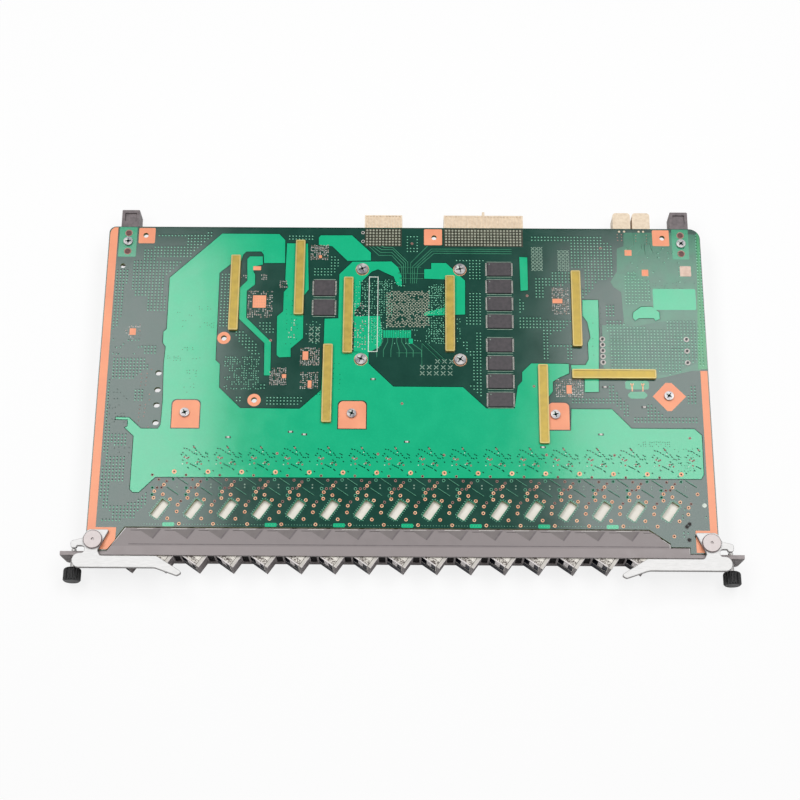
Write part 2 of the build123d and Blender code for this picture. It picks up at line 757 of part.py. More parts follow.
# Screws of the guide sockets, the stiffener and the standoff
with BuildPart() as board_screws:
    with BuildSketch(Plane.XY.offset(board_bottom_z - board_screw_grip)):
        with Locations(*[at(*place) for place in board_screw_places]):
            Circle(board_screw_radius)
    extrude(amount=board_screw_grip + board_thickness)
    with BuildSketch(Plane.XY.offset(board_top_z)):
        with Locations(*[at(*place) for place in board_screw_places]):
            Circle(board_screw_head_radius)
    extrude(amount=board_screw_head_height)
    with BuildSketch(Plane.XY.offset(board_top_z + board_screw_head_height)):
        with Locations(*[at(*place) for place in board_screw_places]):
            RegularPolygon(screw_socket_radius, 6)
    extrude(amount=-screw_socket_depth, mode=Mode.SUBTRACT)
save(board_screws, "board_screws")

# Power converter module with its pins through the board
with BuildPart() as converter:
    with BuildSketch(level(converter_x, converter_depth, board_bottom_z)):
        Rectangle(converter_length, converter_width)
    extrude(amount=-converter_height)
    with BuildSketch(Plane.XY.offset(board_bottom_z)):
        with Locations(*[at(*place) for place in converter_pins]):
            Circle(converter_pin_radius)
    extrude(amount=board_thickness + converter_pin_reach)
save(converter, "power_converter")

# Stiffening channel under the row of grounded screws
stiffener_length = stiffener_ends_x[1] - stiffener_ends_x[0]
stiffener_middle_x = (stiffener_ends_x[0] + stiffener_ends_x[1]) / 2
with BuildPart() as stiffener:
    with BuildSketch(level(stiffener_middle_x, stiffener_depth, board_bottom_z)):
        Rectangle(stiffener_length, stiffener_width)
    extrude(amount=-stiffener_height)
    with BuildSketch(level(stiffener_middle_x, stiffener_depth, board_bottom_z - stiffener_height)):
        Rectangle(stiffener_length, stiffener_width - 2 * stiffener_wall)
    extrude(amount=stiffener_height - board_screw_grip, mode=Mode.SUBTRACT)
    with BuildSketch(Plane.XY.offset(board_bottom_z)):
        with Locations(*[at(x, stiffener_depth) for x in stiffener_screw_x]):
            Circle(board_screw_radius + screw_bore_gap)
    extrude(amount=-board_screw_grip, mode=Mode.SUBTRACT)
save(stiffener, "board_stiffener")

# Hexagonal standoff under the lone screw on the right
with BuildPart() as standoff:
    with BuildSketch(level(standoff_x, standoff_depth, board_bottom_z)):
        RegularPolygon(standoff_across_flats / 2, 6, major_radius=False)
    extrude(amount=-board_bottom_z)
    with BuildSketch(level(standoff_x, standoff_depth, board_bottom_z)):
        Circle(board_screw_radius + screw_bore_gap)
    extrude(amount=-board_screw_grip, mode=Mode.SUBTRACT)
save(standoff, "board_standoff")
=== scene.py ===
import random
from math import cos, hypot, pi, radians, sin

import bpy
from bpy.props import FloatProperty, FloatVectorProperty, IntProperty, PointerProperty
from mathutils import Matrix, Vector


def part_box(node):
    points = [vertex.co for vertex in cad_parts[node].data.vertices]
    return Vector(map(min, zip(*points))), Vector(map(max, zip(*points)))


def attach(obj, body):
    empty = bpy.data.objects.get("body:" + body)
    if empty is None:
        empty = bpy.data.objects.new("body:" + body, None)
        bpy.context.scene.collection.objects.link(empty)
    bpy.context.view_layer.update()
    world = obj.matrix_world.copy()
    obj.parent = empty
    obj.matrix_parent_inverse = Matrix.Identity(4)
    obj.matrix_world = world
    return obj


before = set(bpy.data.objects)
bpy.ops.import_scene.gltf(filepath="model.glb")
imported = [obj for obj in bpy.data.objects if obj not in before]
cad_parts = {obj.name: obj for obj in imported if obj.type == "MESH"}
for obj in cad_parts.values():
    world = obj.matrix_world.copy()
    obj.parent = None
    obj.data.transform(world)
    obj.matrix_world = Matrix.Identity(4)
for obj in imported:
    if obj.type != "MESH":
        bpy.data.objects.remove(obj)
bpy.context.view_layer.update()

bl_info = {
    "name": "Optical line card finish",
    "version": (1, 0, 0),
    "blender": (4, 5, 0),
    "location": "View3D > Sidebar > Line card",
    "description": "Dresses the sixteen-port line card: board artwork, solder, ports, panel and stage",
    "category": "Object",
}

MM = 0.001
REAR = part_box("circuit_board")[1].y
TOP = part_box("circuit_board")[1].z
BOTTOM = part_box("circuit_board")[0].z

# How far below the board's top plates and lands begin, in mm, and how far the pads' copper rises
PLATE_SEAT = -0.06
LAND_SEAT = -0.05
PAD_RISE = 0.07

# The slanted ports and the parts on the board, in mm across and forward from its rear edge
PORTS = 16
FIRST_PORT_X = -158.0
PORT_PITCH = 19.86
PORT_SLANT = 35.0
PORT_TIP_DEPTH = 217.4
PORT_REACH = 8.15
CAGE_HEIGHT = 9.8
WINDOW_ACROSS = 2.2
WINDOW_ALONG = 37.3
HEAT_SINK_X = 4.4
HEAT_SINK_DEPTH = 58.7
HEAT_SCREW_SPAN = 60.0
MEMORY_X = 58.5
MEMORY_DEPTHS = (28.4, 40.1, 51.6, 63.4, 78.9, 90.8, 102.6, 114.4)
FLASH_X = -48.6
FLASH_DEPTHS = (41.5, 54.7)
BOARD_SCREWS = [(-130.0, 123.7), (-30.5, 123.7), (90.9, 123.7), (158.9, 111.5), (-171.2, 10.5), (171.2, 10.5)]


# Places on the card

def port_place(index, across, along):
    """Where a place on one port's cage stands on the board, in mm across and forward from the rear edge."""
    slant = radians(PORT_SLANT)
    out = across - PORT_REACH
    return (FIRST_PORT_X + index * PORT_PITCH + out * cos(slant) + along * sin(slant),
            PORT_TIP_DEPTH + out * sin(slant) - along * cos(slant))


# Bench tools

def clear_selection():
    if bpy.context.mode != "OBJECT":
        bpy.ops.object.mode_set(mode="OBJECT")
    bpy.ops.object.select_all(action="DESELECT")


def pick(*pieces):
    clear_selection()
    for piece in pieces:
        piece.select_set(True)
    bpy.context.view_layer.objects.active = pieces[0]


def name_active(name):
    piece = bpy.context.object
    piece.name = name
    piece.data.name = name
    return piece


def settle(piece):
    """Moves the piece's place into its mesh, so that its object sits at the origin."""
    pick(piece)
    bpy.ops.object.transform_apply(location=True, rotation=True, scale=True)
    return piece


def clean_mesh(piece, gap=1e-7):
    pick(piece)
    bpy.ops.object.mode_set(mode="EDIT")
    bpy.ops.mesh.select_all(action="SELECT")
    bpy.ops.mesh.remove_doubles(threshold=gap)
    bpy.ops.mesh.normals_make_consistent(inside=False)
    bpy.ops.object.mode_set(mode="OBJECT")
    return piece


def finish_piece(piece, finishes, body="card"):
    """Gives the piece these finishes in its slots, and lets it ride on a body."""
    if isinstance(finishes, str):
        finishes = [finishes]
    slots = piece.data.materials
    while len(slots) < len(finishes):
        slots.append(None)
    for i, finish in enumerate(finishes):
        slots[i] = FINISH[finish]
    if body:
        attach(piece, body)
    return piece


def flat_plate(name, outlines, low, high, finish, body="card"):
    """Closed plates with these outlines, between two heights over the board, in mm."""
    clear_selection()
    curve = bpy.data.curves.new(name, "CURVE")
    curve.dimensions = "2D"
    curve.fill_mode = "BOTH"
    curve.extrude = (high - low) / 2
    for outline in outlines:
        spline = curve.splines.new("POLY")
        spline.points.add(len(outline) - 1)
        for point, (x, depth) in zip(spline.points, outline):
            point.co = (x, -depth, 0, 1)
        spline.use_cyclic_u = True
    piece = bpy.data.objects.new(name, curve)
    bpy.context.scene.collection.objects.link(piece)
    piece.location = (0, REAR, TOP + (low + high) / 2 * MM)
    piece.scale = (MM, MM, MM)
    pick(piece)
    bpy.ops.object.convert(target="MESH")
    piece = settle(name_active(name))
    clean_mesh(piece)
    return finish_piece(piece, finish, body)


def rectangle(x0, d0, x1, d1, corner=0.0):
    """The corners of a rectangle on the board, cut off at 45 degrees by the corner size."""
    if corner <= 0:
        return [(x0, d0), (x1, d0), (x1, d1), (x0, d1)]
    c = corner
    return [(x0 + c, d0), (x1 - c, d0), (x1, d0 + c), (x1, d1 - c),
            (x1 - c, d1), (x0 + c, d1), (x0, d1 - c), (x0, d0 + c)]


def round_outline(x, depth, radius, sides):
    turns = [radians(360 * i / sides) for i in range(sides)]
    return [(x + radius * cos(turn), depth + radius * sin(turn)) for turn in turns]


def stroke(points, width):
    """The outline of a line of even width through these places."""
    left, right = [], []
    for i, (x, d) in enumerate(points):
        before = points[max(i - 1, 0)]
        after = points[min(i + 1, len(points) - 1)]
        a = Vector((x - before[0], d - before[1]))
        b = Vector((after[0] - x, after[1] - d))
        a = a.normalized() if a.length > 0 else b.normalized()
        b = b.normalized() if b.length > 0 else a
        middle = (a + b).normalized()
        reach = width / 2 / max(middle.dot(a), 0.5)
        side = Vector((-middle.y, middle.x)) * reach
        left.append((x + side.x, d + side.y))
        right.append((x - side.x, d - side.y))
    return left + right[::-1]


def top_faces(piece, level=0.9):
    """Goes into edit mode with only the upward faces selected."""
    pick(piece)
    bpy.ops.object.mode_set(mode="EDIT")
    bpy.ops.mesh.select_mode(type="FACE")
    bpy.ops.mesh.select_all(action="DESELECT")
    bpy.ops.object.mode_set(mode="OBJECT")
    for face in piece.data.polygons:
        face.select = face.normal.z > level
    bpy.ops.object.mode_set(mode="EDIT")


def cylinder(radius, low, high, sides, turn=0.0):
    """A flat prism over the board's top, centred on the origin, in mm."""
    clear_selection()
    bpy.ops.mesh.primitive_cylinder_add(
        vertices=sides, radius=radius * MM, depth=(high - low) * MM,
        location=(0, 0, TOP + (low + high) / 2 * MM), rotation=(0, 0, radians(turn)))
    return settle(name_active("template"))


def land(finish, radius, low, high, sides=6, taper=0.72):
    """A low domed land over the board's top."""
    piece = cylinder(radius, low, high, sides, 180 / sides)
    top_faces(piece)
    bpy.ops.transform.resize(value=(taper, taper, 1))
    bpy.ops.object.mode_set(mode="OBJECT")
    return finish_piece(piece, finish, None)


def ring_pad(finishes, radius, hole, low, high, sides=10, sink=0.03):
    """A round land whose middle is sunk and takes the second finish."""
    piece = cylinder(radius, low, high, sides)
    finish_piece(piece, finishes, None)
    top_faces(piece)
    bpy.ops.mesh.inset(thickness=(radius - hole) * MM, depth=0)
    piece.active_material_index = 1
    bpy.ops.object.material_slot_assign()
    bpy.ops.mesh.inset(thickness=hole * 0.12 * MM, depth=-sink * MM)
    bpy.ops.object.mode_set(mode="OBJECT")
    return piece


def block(finish, length, width, low, high, bevel=0.0):
    """A small block over the board's top, centred on the origin, in mm."""
    clear_selection()
    bpy.ops.mesh.primitive_cube_add(size=1, location=(0, 0, TOP + (low + high) / 2 * MM))
    piece = name_active("template")
    piece.scale = (length * MM, width * MM, (high - low) * MM)
    settle(piece)
    if bevel > 0:
        edge = piece.modifiers.new("edge", "BEVEL")
        edge.width = bevel * MM
        edge.segments = 1
        bpy.ops.object.modifier_apply(modifier="edge")
    else:
        top_faces(piece)
        bpy.ops.transform.resize(value=(0.9, 0.9, 1))
        bpy.ops.object.mode_set(mode="OBJECT")
    return finish_piece(piece, finish, None)


def chip_part(body, ends, length, width, height, share=0.26):
    """A small two-ended part: its body, and solder over both its ends."""
    piece = block(body, length, width, -0.02, height)
    finish_piece(piece, (body, ends), None)
    pick(piece)
    bpy.ops.object.mode_set(mode="EDIT")
    for side in (-1, 1):
        bpy.ops.mesh.select_all(action="SELECT")
        bpy.ops.mesh.bisect(plane_co=(side * (0.5 - share) * length * MM, 0, 0), plane_no=(1, 0, 0))
    bpy.ops.mesh.select_mode(type="FACE")
    bpy.ops.mesh.select_all(action="DESELECT")
    bpy.ops.object.mode_set(mode="OBJECT")
    for face in piece.data.polygons:
        face.select = abs(face.center.x) > (0.5 - share) * length * MM
    bpy.ops.object.mode_set(mode="EDIT")
    piece.active_material_index = 1
    bpy.ops.object.material_slot_assign()
    bpy.ops.object.mode_set(mode="OBJECT")
    return piece


def stamp(template, x, depth, turn=0.0):
    """A copy of the template, with its own mesh, at this place on the board."""
    copy = template.copy()
    copy.data = template.data.copy()
    bpy.context.scene.collection.objects.link(copy)
    copy.location = (x * MM, REAR - depth * MM, 0)
    copy.rotation_euler = (0, 0, radians(turn))
    return copy


def gather(name, pieces, body="card"):
    """Joins the copies into one piece that rides on a body."""
    pick(*pieces)
    if len(pieces) > 1:
        bpy.ops.object.join()
    piece = settle(name_active(name))
    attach(piece, body)
    return piece


def copies(name, template, places):
    """One piece made of copies of a template at places given as (across, depth) or (across, depth, turn)."""
    if not places:
        raise RuntimeError(f"{name} has no places")
    piece = gather(name, [stamp(template, *place) for place in places])
    discard(template)
    return piece


def inside(outline, x, depth):
    hit = False
    for (xa, da), (xb, db) in zip(outline, outline[1:] + outline[:1]):
        if (da > depth) != (db > depth) and x < (xb - xa) * (depth - da) / (db - da) + xa:
            hit = not hit
    return hit


def grid_in(outline, pitch, start=0.0):
    """The places of an even grid that fall inside an outline, row by row."""
    spans = []
    for axis in (0, 1):
        values = [place[axis] for place in outline]
        spans.append(range(int((min(values) - start) / pitch) - 1, int((max(values) - start) / pitch) + 2))
    rows = []
    for j in spans[1]:
        row = [(start + i * pitch, start + j * pitch) for i in spans[0]]
        row = [place for place in row if inside(outline, *place)]
        if row:
            rows.append(row)
    return rows


def strip(template, count, step):
    """A row of copies of the template, made with an array."""
    row = stamp(template, 0, 0)
    row.location = (0, 0, 0)
    if count > 1:
        pick(row)
        repeat = row.modifiers.new("repeat", "ARRAY")
        repeat.use_relative_offset = False
        repeat.use_constant_offset = True
        repeat.constant_offset_displace = (step * MM, 0, 0)
        repeat.count = count
        bpy.ops.object.modifier_apply(modifier="repeat")
    return row


def fields(name, template, outlines, pitch):
    """Fills each outline with an even grid of copies of the template."""
    strips, made = {}, []
    for outline in outlines:
        for row in grid_in(outline, pitch):
            runs = [[row[0]]]
            for place in row[1:]:
                if place[0] - runs[-1][-1][0] < pitch * 1.5:
                    runs[-1].append(place)
                else:
                    runs.append([place])
            for run in runs:
                if len(run) not in strips:
                    strips[len(run)] = strip(template, len(run), pitch)
                made.append(stamp(strips[len(run)], *run[0]))
    piece = gather(name, made)
    for row in [*strips.values(), template]:
        discard(row)
    return piece


def via_land(radius):
    """A small via: its pale land, and a dark patch of painted shade just behind it."""
    pale = land("dots", radius, LAND_SEAT, 0.1, 5)
    # Painted shade: a smaller dark land set just behind the pale one
    mouth = land("speck", radius * 0.8, LAND_SEAT, 0.085, 5)
    mouth.location = (0.25 * MM, 0.78 * MM, 0)
    return gather("via", [pale, mouth])


def grown(outline, by):
    """The same closed outline with every side moved outward by this much."""
    area = sum(a[0] * b[1] - b[0] * a[1] for a, b in zip(outline, outline[1:] + outline[:1]))
    by = by if area > 0 else -by
    made = []
    for a, b, c in zip(outline[-1:] + outline[:-1], outline, outline[1:] + outline[:1]):
        one, two = hypot(b[0] - a[0], b[1] - a[1]), hypot(c[0] - b[0], c[1] - b[1])
        first = ((b[1] - a[1]) / one, (a[0] - b[0]) / one)
        second = ((c[1] - b[1]) / two, (b[0] - c[0]) / two)
        share = by / max(0.5, 1 + first[0] * second[0] + first[1] * second[1])
        made.append((b[0] + (first[0] + second[0]) * share, b[1] + (first[1] + second[1]) * share))
    return made


def tracks(lines, width, low, high, name, finish, crossing=False):
    """Flat tracks of even width through these places; those that cross are made one by one."""
    outlines = [stroke(line, width) for line in lines]
    if not crossing:
        return flat_plate(name, outlines, low, high, finish)
    return gather(name, [flat_plate(name, [outline], low, high, finish, None) for outline in outlines])


def discard(piece):
    bpy.data.objects.remove(piece)


# Finishes

FINISH = {}


def start_finish(name, color, metal=0.0, roughness=0.5):
    material = bpy.data.materials.new(name)
    material.use_nodes = True
    shader = material.node_tree.nodes["Principled BSDF"]
    shader.inputs["Base Color"].default_value = (*color, 1)
    shader.inputs["Metallic"].default_value = metal
    shader.inputs["Roughness"].default_value = roughness
    place = material.node_tree.nodes.new("ShaderNodeTexCoord")
    place.name = "place"
    return material, shader


def lin(r, g, b):
    """A colour written as it looks on a screen, 0 to 255, made linear for the shader."""
    def one(v):
        v /= 255
        return v / 12.92 if v <= 0.04045 else ((v + 0.055) / 1.055) ** 2.4
    return one(r), one(g), one(b)


def grain(material, scale, detail, stretch=None):
    """A noise over the piece; stretch gives its scale along each axis."""
    nodes, links = material.node_tree.nodes, material.node_tree.links
    texture = nodes.new("ShaderNodeTexNoise")
    texture.inputs["Scale"].default_value = scale
    texture.inputs["Detail"].default_value = detail
    source = nodes["place"].outputs["Object"]
    if stretch:
        mapping = nodes.new("ShaderNodeMapping")
        mapping.inputs["Scale"].default_value = stretch
        links.new(source, mapping.inputs["Vector"])
        source = mapping.outputs["Vector"]
    links.new(source, texture.inputs["Vector"])
    return texture.outputs["Fac"]


def shades(material, fac, stops):
    """A colour ramp from a value; stops are (position, linear colour)."""
    ramp = material.node_tree.nodes.new("ShaderNodeValToRGB")
    points = ramp.color_ramp.elements
    while len(points) < len(stops):
        points.new(0.5)
    for point, (position, color) in zip(points, stops):
        point.position = position
        point.color = (*color, 1)
    material.node_tree.links.new(fac, ramp.inputs["Fac"])
    return ramp.outputs["Color"]


def spread(material, fac, low, high, out_low, out_high):
    node = material.node_tree.nodes.new("ShaderNodeMapRange")
    for socket, value in zip(("From Min", "From Max", "To Min", "To Max"), (low, high, out_low, out_high)):
        node.inputs[socket].default_value = value
    material.node_tree.links.new(fac, node.inputs["Value"])
    return node.outputs["Result"]


def roughen(material, shader, fac, low, high):
    material.node_tree.links.new(spread(material, fac, 0.3, 0.7, low, high), shader.inputs["Roughness"])


def bump(material, shader, fac, strength, depth):
    node = material.node_tree.nodes.new("ShaderNodeBump")
    node.inputs["Strength"].default_value = strength
    node.inputs["Distance"].default_value = depth
    material.node_tree.links.new(fac, node.inputs["Height"])
    material.node_tree.links.new(node.outputs["Normal"], shader.inputs["Normal"])


def varied(name, dark, light, scale, metal=0.0, rough=(0.4, 0.55), bump_depth=0.0, stretch=None, detail=4.0):
    """A finish whose colour, gloss and surface vary with one grain."""
    material, shader = start_finish(name, light, metal)
    fac = grain(material, scale, detail, stretch)
    material.node_tree.links.new(
        shades(material, fac, [(0.35, dark), (0.65, light)]), shader.inputs["Base Color"])
    roughen(material, shader, fac, *rough)
    if bump_depth:
        bump(material, shader, grain(material, scale * 6, 2.0, stretch), 0.6, bump_depth * MM)
    return material


def mix_color(material, fac, a, b):
    node = material.node_tree.nodes.new("ShaderNodeMix")
    node.data_type = "RGBA"
    links = material.node_tree.links
    links.new(fac, node.inputs[0])
    for socket, value in ((node.inputs[6], a), (node.inputs[7], b)):
        if isinstance(value, tuple):
            socket.default_value = (*value, 1)
        else:
            links.new(value, socket)
    return node.outputs[2]


def solder_mask(name, shade, light):
    """Glossy green mask with the weave of the laminate and fine track texture under it."""
    material, shader = start_finish(name, light, roughness=0.2)
    shader.inputs["IOR"].default_value = 1.52
    cloud = grain(material, 90, 5.0)
    fine = grain(material, 900, 2.0)
    color = shades(material, cloud, [(0.3, shade), (0.7, light)])
    color = mix_color(material, spread(material, fine, 0.45, 0.75, 0.0, 0.12), color,
                      tuple(min(1.0, c * 1.4 + 0.01) for c in light))
    material.node_tree.links.new(color, shader.inputs["Base Color"])
    roughen(material, shader, cloud, 0.12, 0.17)
    bump(material, shader, fine, 0.04, 0.01 * MM)
    return material


def base_color(material):
    """The colour that goes into the shader of a finish."""
    return material.node_tree.nodes["Principled BSDF"].inputs["Base Color"].links[0].from_socket


def repaint(material, color):
    shader = material.node_tree.nodes["Principled BSDF"]
    material.node_tree.links.new(color, shader.inputs["Base Color"])
    return material


def shade_sides(material, color, top=0.55, blur=0.3):
    """Gives the faces that don't look up or down another colour: the laminate on the board's edges, and
    painted shade on the sides of the levers and pivots.
    """
    level = spread(material, upness(material), top, top + blur, 0.0, 1.0)
    return repaint(material, mix_color(material, level, color, base_color(material)))


def board_finish():
    """The bare board: dark green mask on both faces and yellow-green laminate at its edges."""
    green = tuple(bpy.context.scene.line_card_finish.mask_dark)
    material = solder_mask("board_mask", tuple(c * 0.8 for c in green), green)
    return shade_sides(material, lin(128, 138, 84), 0.5, 0.1)


def upness(material):
    """How far a face looks straight up or down, from 0 to 1."""
    nodes, links = material.node_tree.nodes, material.node_tree.links
    geometry = nodes.new("ShaderNodeNewGeometry")
    split = nodes.new("ShaderNodeSeparateXYZ")
    links.new(geometry.outputs["Normal"], split.inputs["Vector"])
    return sum_node(material, "ABSOLUTE", split.outputs["Z"])


def sum_node(material, kind, a, b=None, c=None):
    """One step of arithmetic on values or sockets."""
    node = material.node_tree.nodes.new("ShaderNodeMath")
    node.operation = kind
    for socket, value in zip(node.inputs, (a, b, c)):
        if value is None:
            continue
        if isinstance(value, (int, float)):
            socket.default_value = value
        else:
            material.node_tree.links.new(value, socket)
    return node.outputs[0]


def product(material, *factors):
    value = factors[0]
    for factor in factors[1:]:
        value = sum_node(material, "MULTIPLY", value, factor)
    return value


def place_axis(material, axis):
    """How far the place lies along an axis of the shared frame, in metres."""
    split = material.node_tree.nodes.new("ShaderNodeSeparateXYZ")
    material.node_tree.links.new(material.node_tree.nodes["place"].outputs["Object"], split.inputs["Vector"])
    return split.outputs[axis]


def turned_place(x, y):
    """A place in the frame, measured square to the cages and along them."""
    slant = radians(PORT_SLANT)
    return x * cos(slant) - y * sin(slant), x * sin(slant) + y * cos(slant)


def turned_axes(material):
    """The same two measures of the place that is being shaded."""
    slant = radians(PORT_SLANT)
    x, y = place_axis(material, "X"), place_axis(material, "Y")
    return (sum_node(material, "SUBTRACT", product(material, x, cos(slant)),
                     product(material, y, sin(slant))),
            sum_node(material, "ADD", product(material, x, sin(slant)), product(material, y, cos(slant))))


def cage_finish():
    """Bright cage sheet outside, painted shade inside, and browner, mottled ends by the board."""
    material = varied("bright_steel", lin(224, 219, 210), lin(237, 232, 223), 120, 0.0, (0.4, 0.5), 0.004)
    half_mouth, half_height, middle_drop, end_length = 6.75, 4.62, 4.9, 3.6
    x, depth = port_place(0, 0, 0)
    first_across, first_along = turned_place(x * MM, REAR - depth * MM)
    step = PORT_PITCH * cos(radians(PORT_SLANT)) * MM
    rise = PORT_PITCH * sin(radians(PORT_SLANT)) * MM
    across, along = turned_axes(material)
    across = sum_node(material, "SUBTRACT", across, first_across)
    off_middle = sum_node(material, "ABSOLUTE", sum_node(material, "WRAP", across, step / 2, -step / 2))
    between = sum_node(material, "LESS_THAN", off_middle, half_mouth * MM)
    height = sum_node(material, "SUBTRACT", place_axis(material, "Z"), BOTTOM - middle_drop * MM)
    within = sum_node(material, "LESS_THAN", sum_node(material, "ABSOLUTE", height), half_height * MM)
    # Painted shade: inside each mouth the sheet is painted near black
    dark = mix_color(material, product(material, between, within), base_color(material), lin(20, 22, 38))
    port = sum_node(material, "ROUND", sum_node(material, "DIVIDE", across, step))
    along = sum_node(material, "SUBTRACT", along, first_along)
    along = sum_node(material, "SUBTRACT", along, product(material, port, rise))
    close = sum_node(material, "LESS_THAN", along, end_length * MM)
    top = sum_node(material, "GREATER_THAN", place_axis(material, "Z"), BOTTOM - 0.05 * MM)
    mottle = spread(material, grain(material, 1300, 2.0), 0.44, 0.56, 0.15, 1.0)
    return repaint(material,
                   mix_color(material, product(material, close, top, mottle), dark, lin(86, 74, 68)))


def panel_finish():
    """Painted casting with painted light: its side faces are darkened as painted shade, and its sunk pockets
    and front band are lightened as painted highlight.
    """
    grey = tuple(bpy.context.scene.line_card_finish.panel_grey)
    material = varied("panel_cast", grey, tuple(c * 1.08 for c in grey), 160, 0.1, (0.42, 0.52), 0.01)
    band_depth, pocket_top, pocket_floor = 205.9, 1.25, 1.9
    band = sum_node(material, "LESS_THAN", place_axis(material, "Y"), REAR - band_depth * MM)
    sunk = sum_node(material, "LESS_THAN", place_axis(material, "Z"), TOP - pocket_top * MM)
    near = sum_node(material, "GREATER_THAN", place_axis(material, "Z"), TOP - pocket_floor * MM)
    up = sum_node(material, "GREATER_THAN", upness(material), 0.9)
    side = sum_node(material, "LESS_THAN", upness(material), 0.5)
    base = base_color(material)
    # Painted light: the front band and the sunk pockets are lightened, and the side faces darkened as painted
    # shade
    for zone, share, tone in ((band, 0.5, 1.35), (product(material, sunk, near, up), 0.3, 1.15),
                              (side, 0.45, 0.55)):
        base = mix_color(material, product(material, zone, share), base, tuple(c * tone for c in grey))
    return repaint(material, base)


def bar_finish():
    """Ochre bars with a paler rim: the rim stands above the sunk middle."""
    ochre = tuple(bpy.context.scene.line_card_finish.bar_ochre)
    material = varied("bar_ochre", tuple(c * 0.82 for c in ochre), ochre, 260, 0.35, (0.34, 0.46), 0.01)
    rim = spread(material, place_axis(material, "Z"), TOP + 1.9 * MM, TOP + 2.1 * MM, 0.0, 0.3)
    return repaint(material, mix_color(material, rim, base_color(material), lin(224, 210, 160)))


# Solder mask over copper: finish, material, and its two colours as they look on a screen
MASKS = (
    ("mid", "mid_mask", (30, 100, 76), (40, 122, 92)),
    ("mid_bright", "mid_bright_mask", (36, 140, 102), (44, 158, 116)),
    ("track", "track_mask", (48, 120, 92), (66, 146, 112)),
    ("dim", "dim_mask", (24, 86, 68), (34, 106, 82)),
    ("edge_pour", "edge_mask", (8, 128, 74), (14, 146, 86)))

# Other surfaces: finish, material, its two colours, scale of the grain, metal, range of roughness,
# depth of the bumps in mm, and the stretch of the grain along each axis
SURFACES = (
    ("ring_green", "ring_mask", (58, 140, 108), (98, 180, 144), 900, 0, (0.45, 0.6)),
    ("dark", "dark_mask", (8, 40, 34), (14, 54, 44), 300, 0, (0.2, 0.3)),
    ("dots", "via_mask", (96, 184, 148), (140, 212, 180), 900, 0, (0.5, 0.62)),
    # The dark of small holes, also used as painted shade beside vias and tracks and in the screw heads
    ("speck", "hole_dark_and_painted_shade", (4, 24, 20), (14, 46, 38), 900, 0, (0.9, 1.0)),
    ("copper", "gilded_copper", (230, 144, 106), (243, 160, 120), 60, 0.04, (0.36, 0.48), 0.008),
    ("gold_ring", "gilded_ring", (216, 142, 100), (250, 204, 164), 900, 0.06, (0.34, 0.46)),
    ("red_ring", "red_ring", (136, 92, 84), (182, 134, 122), 900, 0, (0.4, 0.5)),
    ("silk", "white_ink", (196, 208, 196), (226, 234, 224), 700, 0, (0.5, 0.7)),
    ("silk_dim", "thin_white_ink", (118, 150, 132), (150, 178, 160), 700, 0, (0.5, 0.7)),
    ("solder", "solder", (166, 162, 158), (224, 218, 212), 1500, 0.08, (0.34, 0.46), 0.01),
    ("pin_solder", "pin_solder", (146, 152, 134), (178, 180, 160), 900, 0.08, (0.4, 0.5)),
    ("pin_field", "pin_field_mask", (48, 52, 40), (66, 66, 52), 160, 0, (0.22, 0.3)),
    ("hole", "hole_shadow", (16, 14, 14), (40, 30, 28), 900, 0, (0.6, 0.8)),
    ("ceramic", "ceramic", (132, 100, 84), (176, 148, 130), 1200, 0, (0.45, 0.6)),
    ("chip_dark", "resistor_black", (22, 24, 24), (48, 48, 46), 1200, 0, (0.35, 0.5)),
    # Painted shade lines on the front panel
    ("panel_line", "painted_step_shade", (96, 88, 90), (116, 108, 110), 200, 0, (0.5, 0.6)),
    # Painted highlight on the rear edges of the panel's pockets
    ("panel_bright", "painted_edge_highlight", (184, 180, 176), (206, 202, 198), 300, 0, (0.4, 0.5)),
    ("panel_shade", "pocket_shade", (112, 105, 104), (122, 115, 114), 200, 0, (0.5, 0.6)),
    ("navy", "sill_shadow", (4, 5, 14), (16, 18, 42), 260, 0, (0.5, 0.6)),
    ("tongue", "latch_tongue", (206, 200, 200), (228, 222, 220), 500, 0, (0.4, 0.5)),
    # Painted highlight on the fins of the front panel
    ("fin_cap", "fin_cap", (190, 185, 178), (208, 203, 196), 300, 0, (0.4, 0.5)),
    ("smoke", "smoked_window", (6, 2, 3), (20, 12, 14), 400, 0, (0.6, 0.7)),
    ("lever", "lever_plate", (226, 225, 224), (238, 237, 236), 220, 0, (0.42, 0.52), 0.008, (1, 5, 1)),
    ("pivot", "pivot_plate", (238, 226, 224), (250, 239, 237), 500, 0, (0.36, 0.46), 0.006),
    ("pale_tin", "pale_tin", (206, 176, 158), (226, 200, 184), 500, 0, (0.45, 0.55)),
    ("shank", "shank_steel", (182, 180, 178), (214, 212, 210), 600, 0.2, (0.3, 0.42)),
    ("ic", "small_package", (30, 30, 32), (50, 50, 52), 500, 0, (0.4, 0.55), 0.01),
    ("knob", "knob_black", (10, 10, 11), (24, 24, 26), 700, 0, (0.38, 0.5), 0.02),
    ("screw", "screw_steel", (128, 128, 134), (206, 202, 200), 260, 0.3, (0.26, 0.38)),
    ("guide", "guide_grey", (96, 88, 90), (122, 112, 114), 420, 0, (0.4, 0.55), 0.01),
    ("peg", "peg_red_brown", (70, 34, 32), (108, 62, 58), 700, 0, (0.4, 0.5)),
    ("cream", "connector_cream", (222, 202, 176), (238, 220, 196), 500, 0, (0.42, 0.56), 0.006),
    ("chip", "chip_body", (52, 48, 52), (70, 64, 68), 500, 0, (0.42, 0.56), 0.01),
    ("package", "package_lid", (150, 150, 148), (196, 196, 192), 500, 0.7, (0.3, 0.42)),
    ("sink", "sink_aluminium", (170, 172, 174), (206, 208, 210), 300, 0.8, (0.3, 0.42), 0, (1, 8, 1)),
    ("converter", "converter_black", (20, 20, 22), (44, 44, 46), 420, 0, (0.35, 0.5), 0.02),
    ("aluminium", "stiffener_aluminium", (168, 170, 170), (212, 214, 214), 300, 0.75, (0.3, 0.42), 0,
     (1, 8, 1)))
DULL = (("speck", 0.05), ("smoke", 0.1))


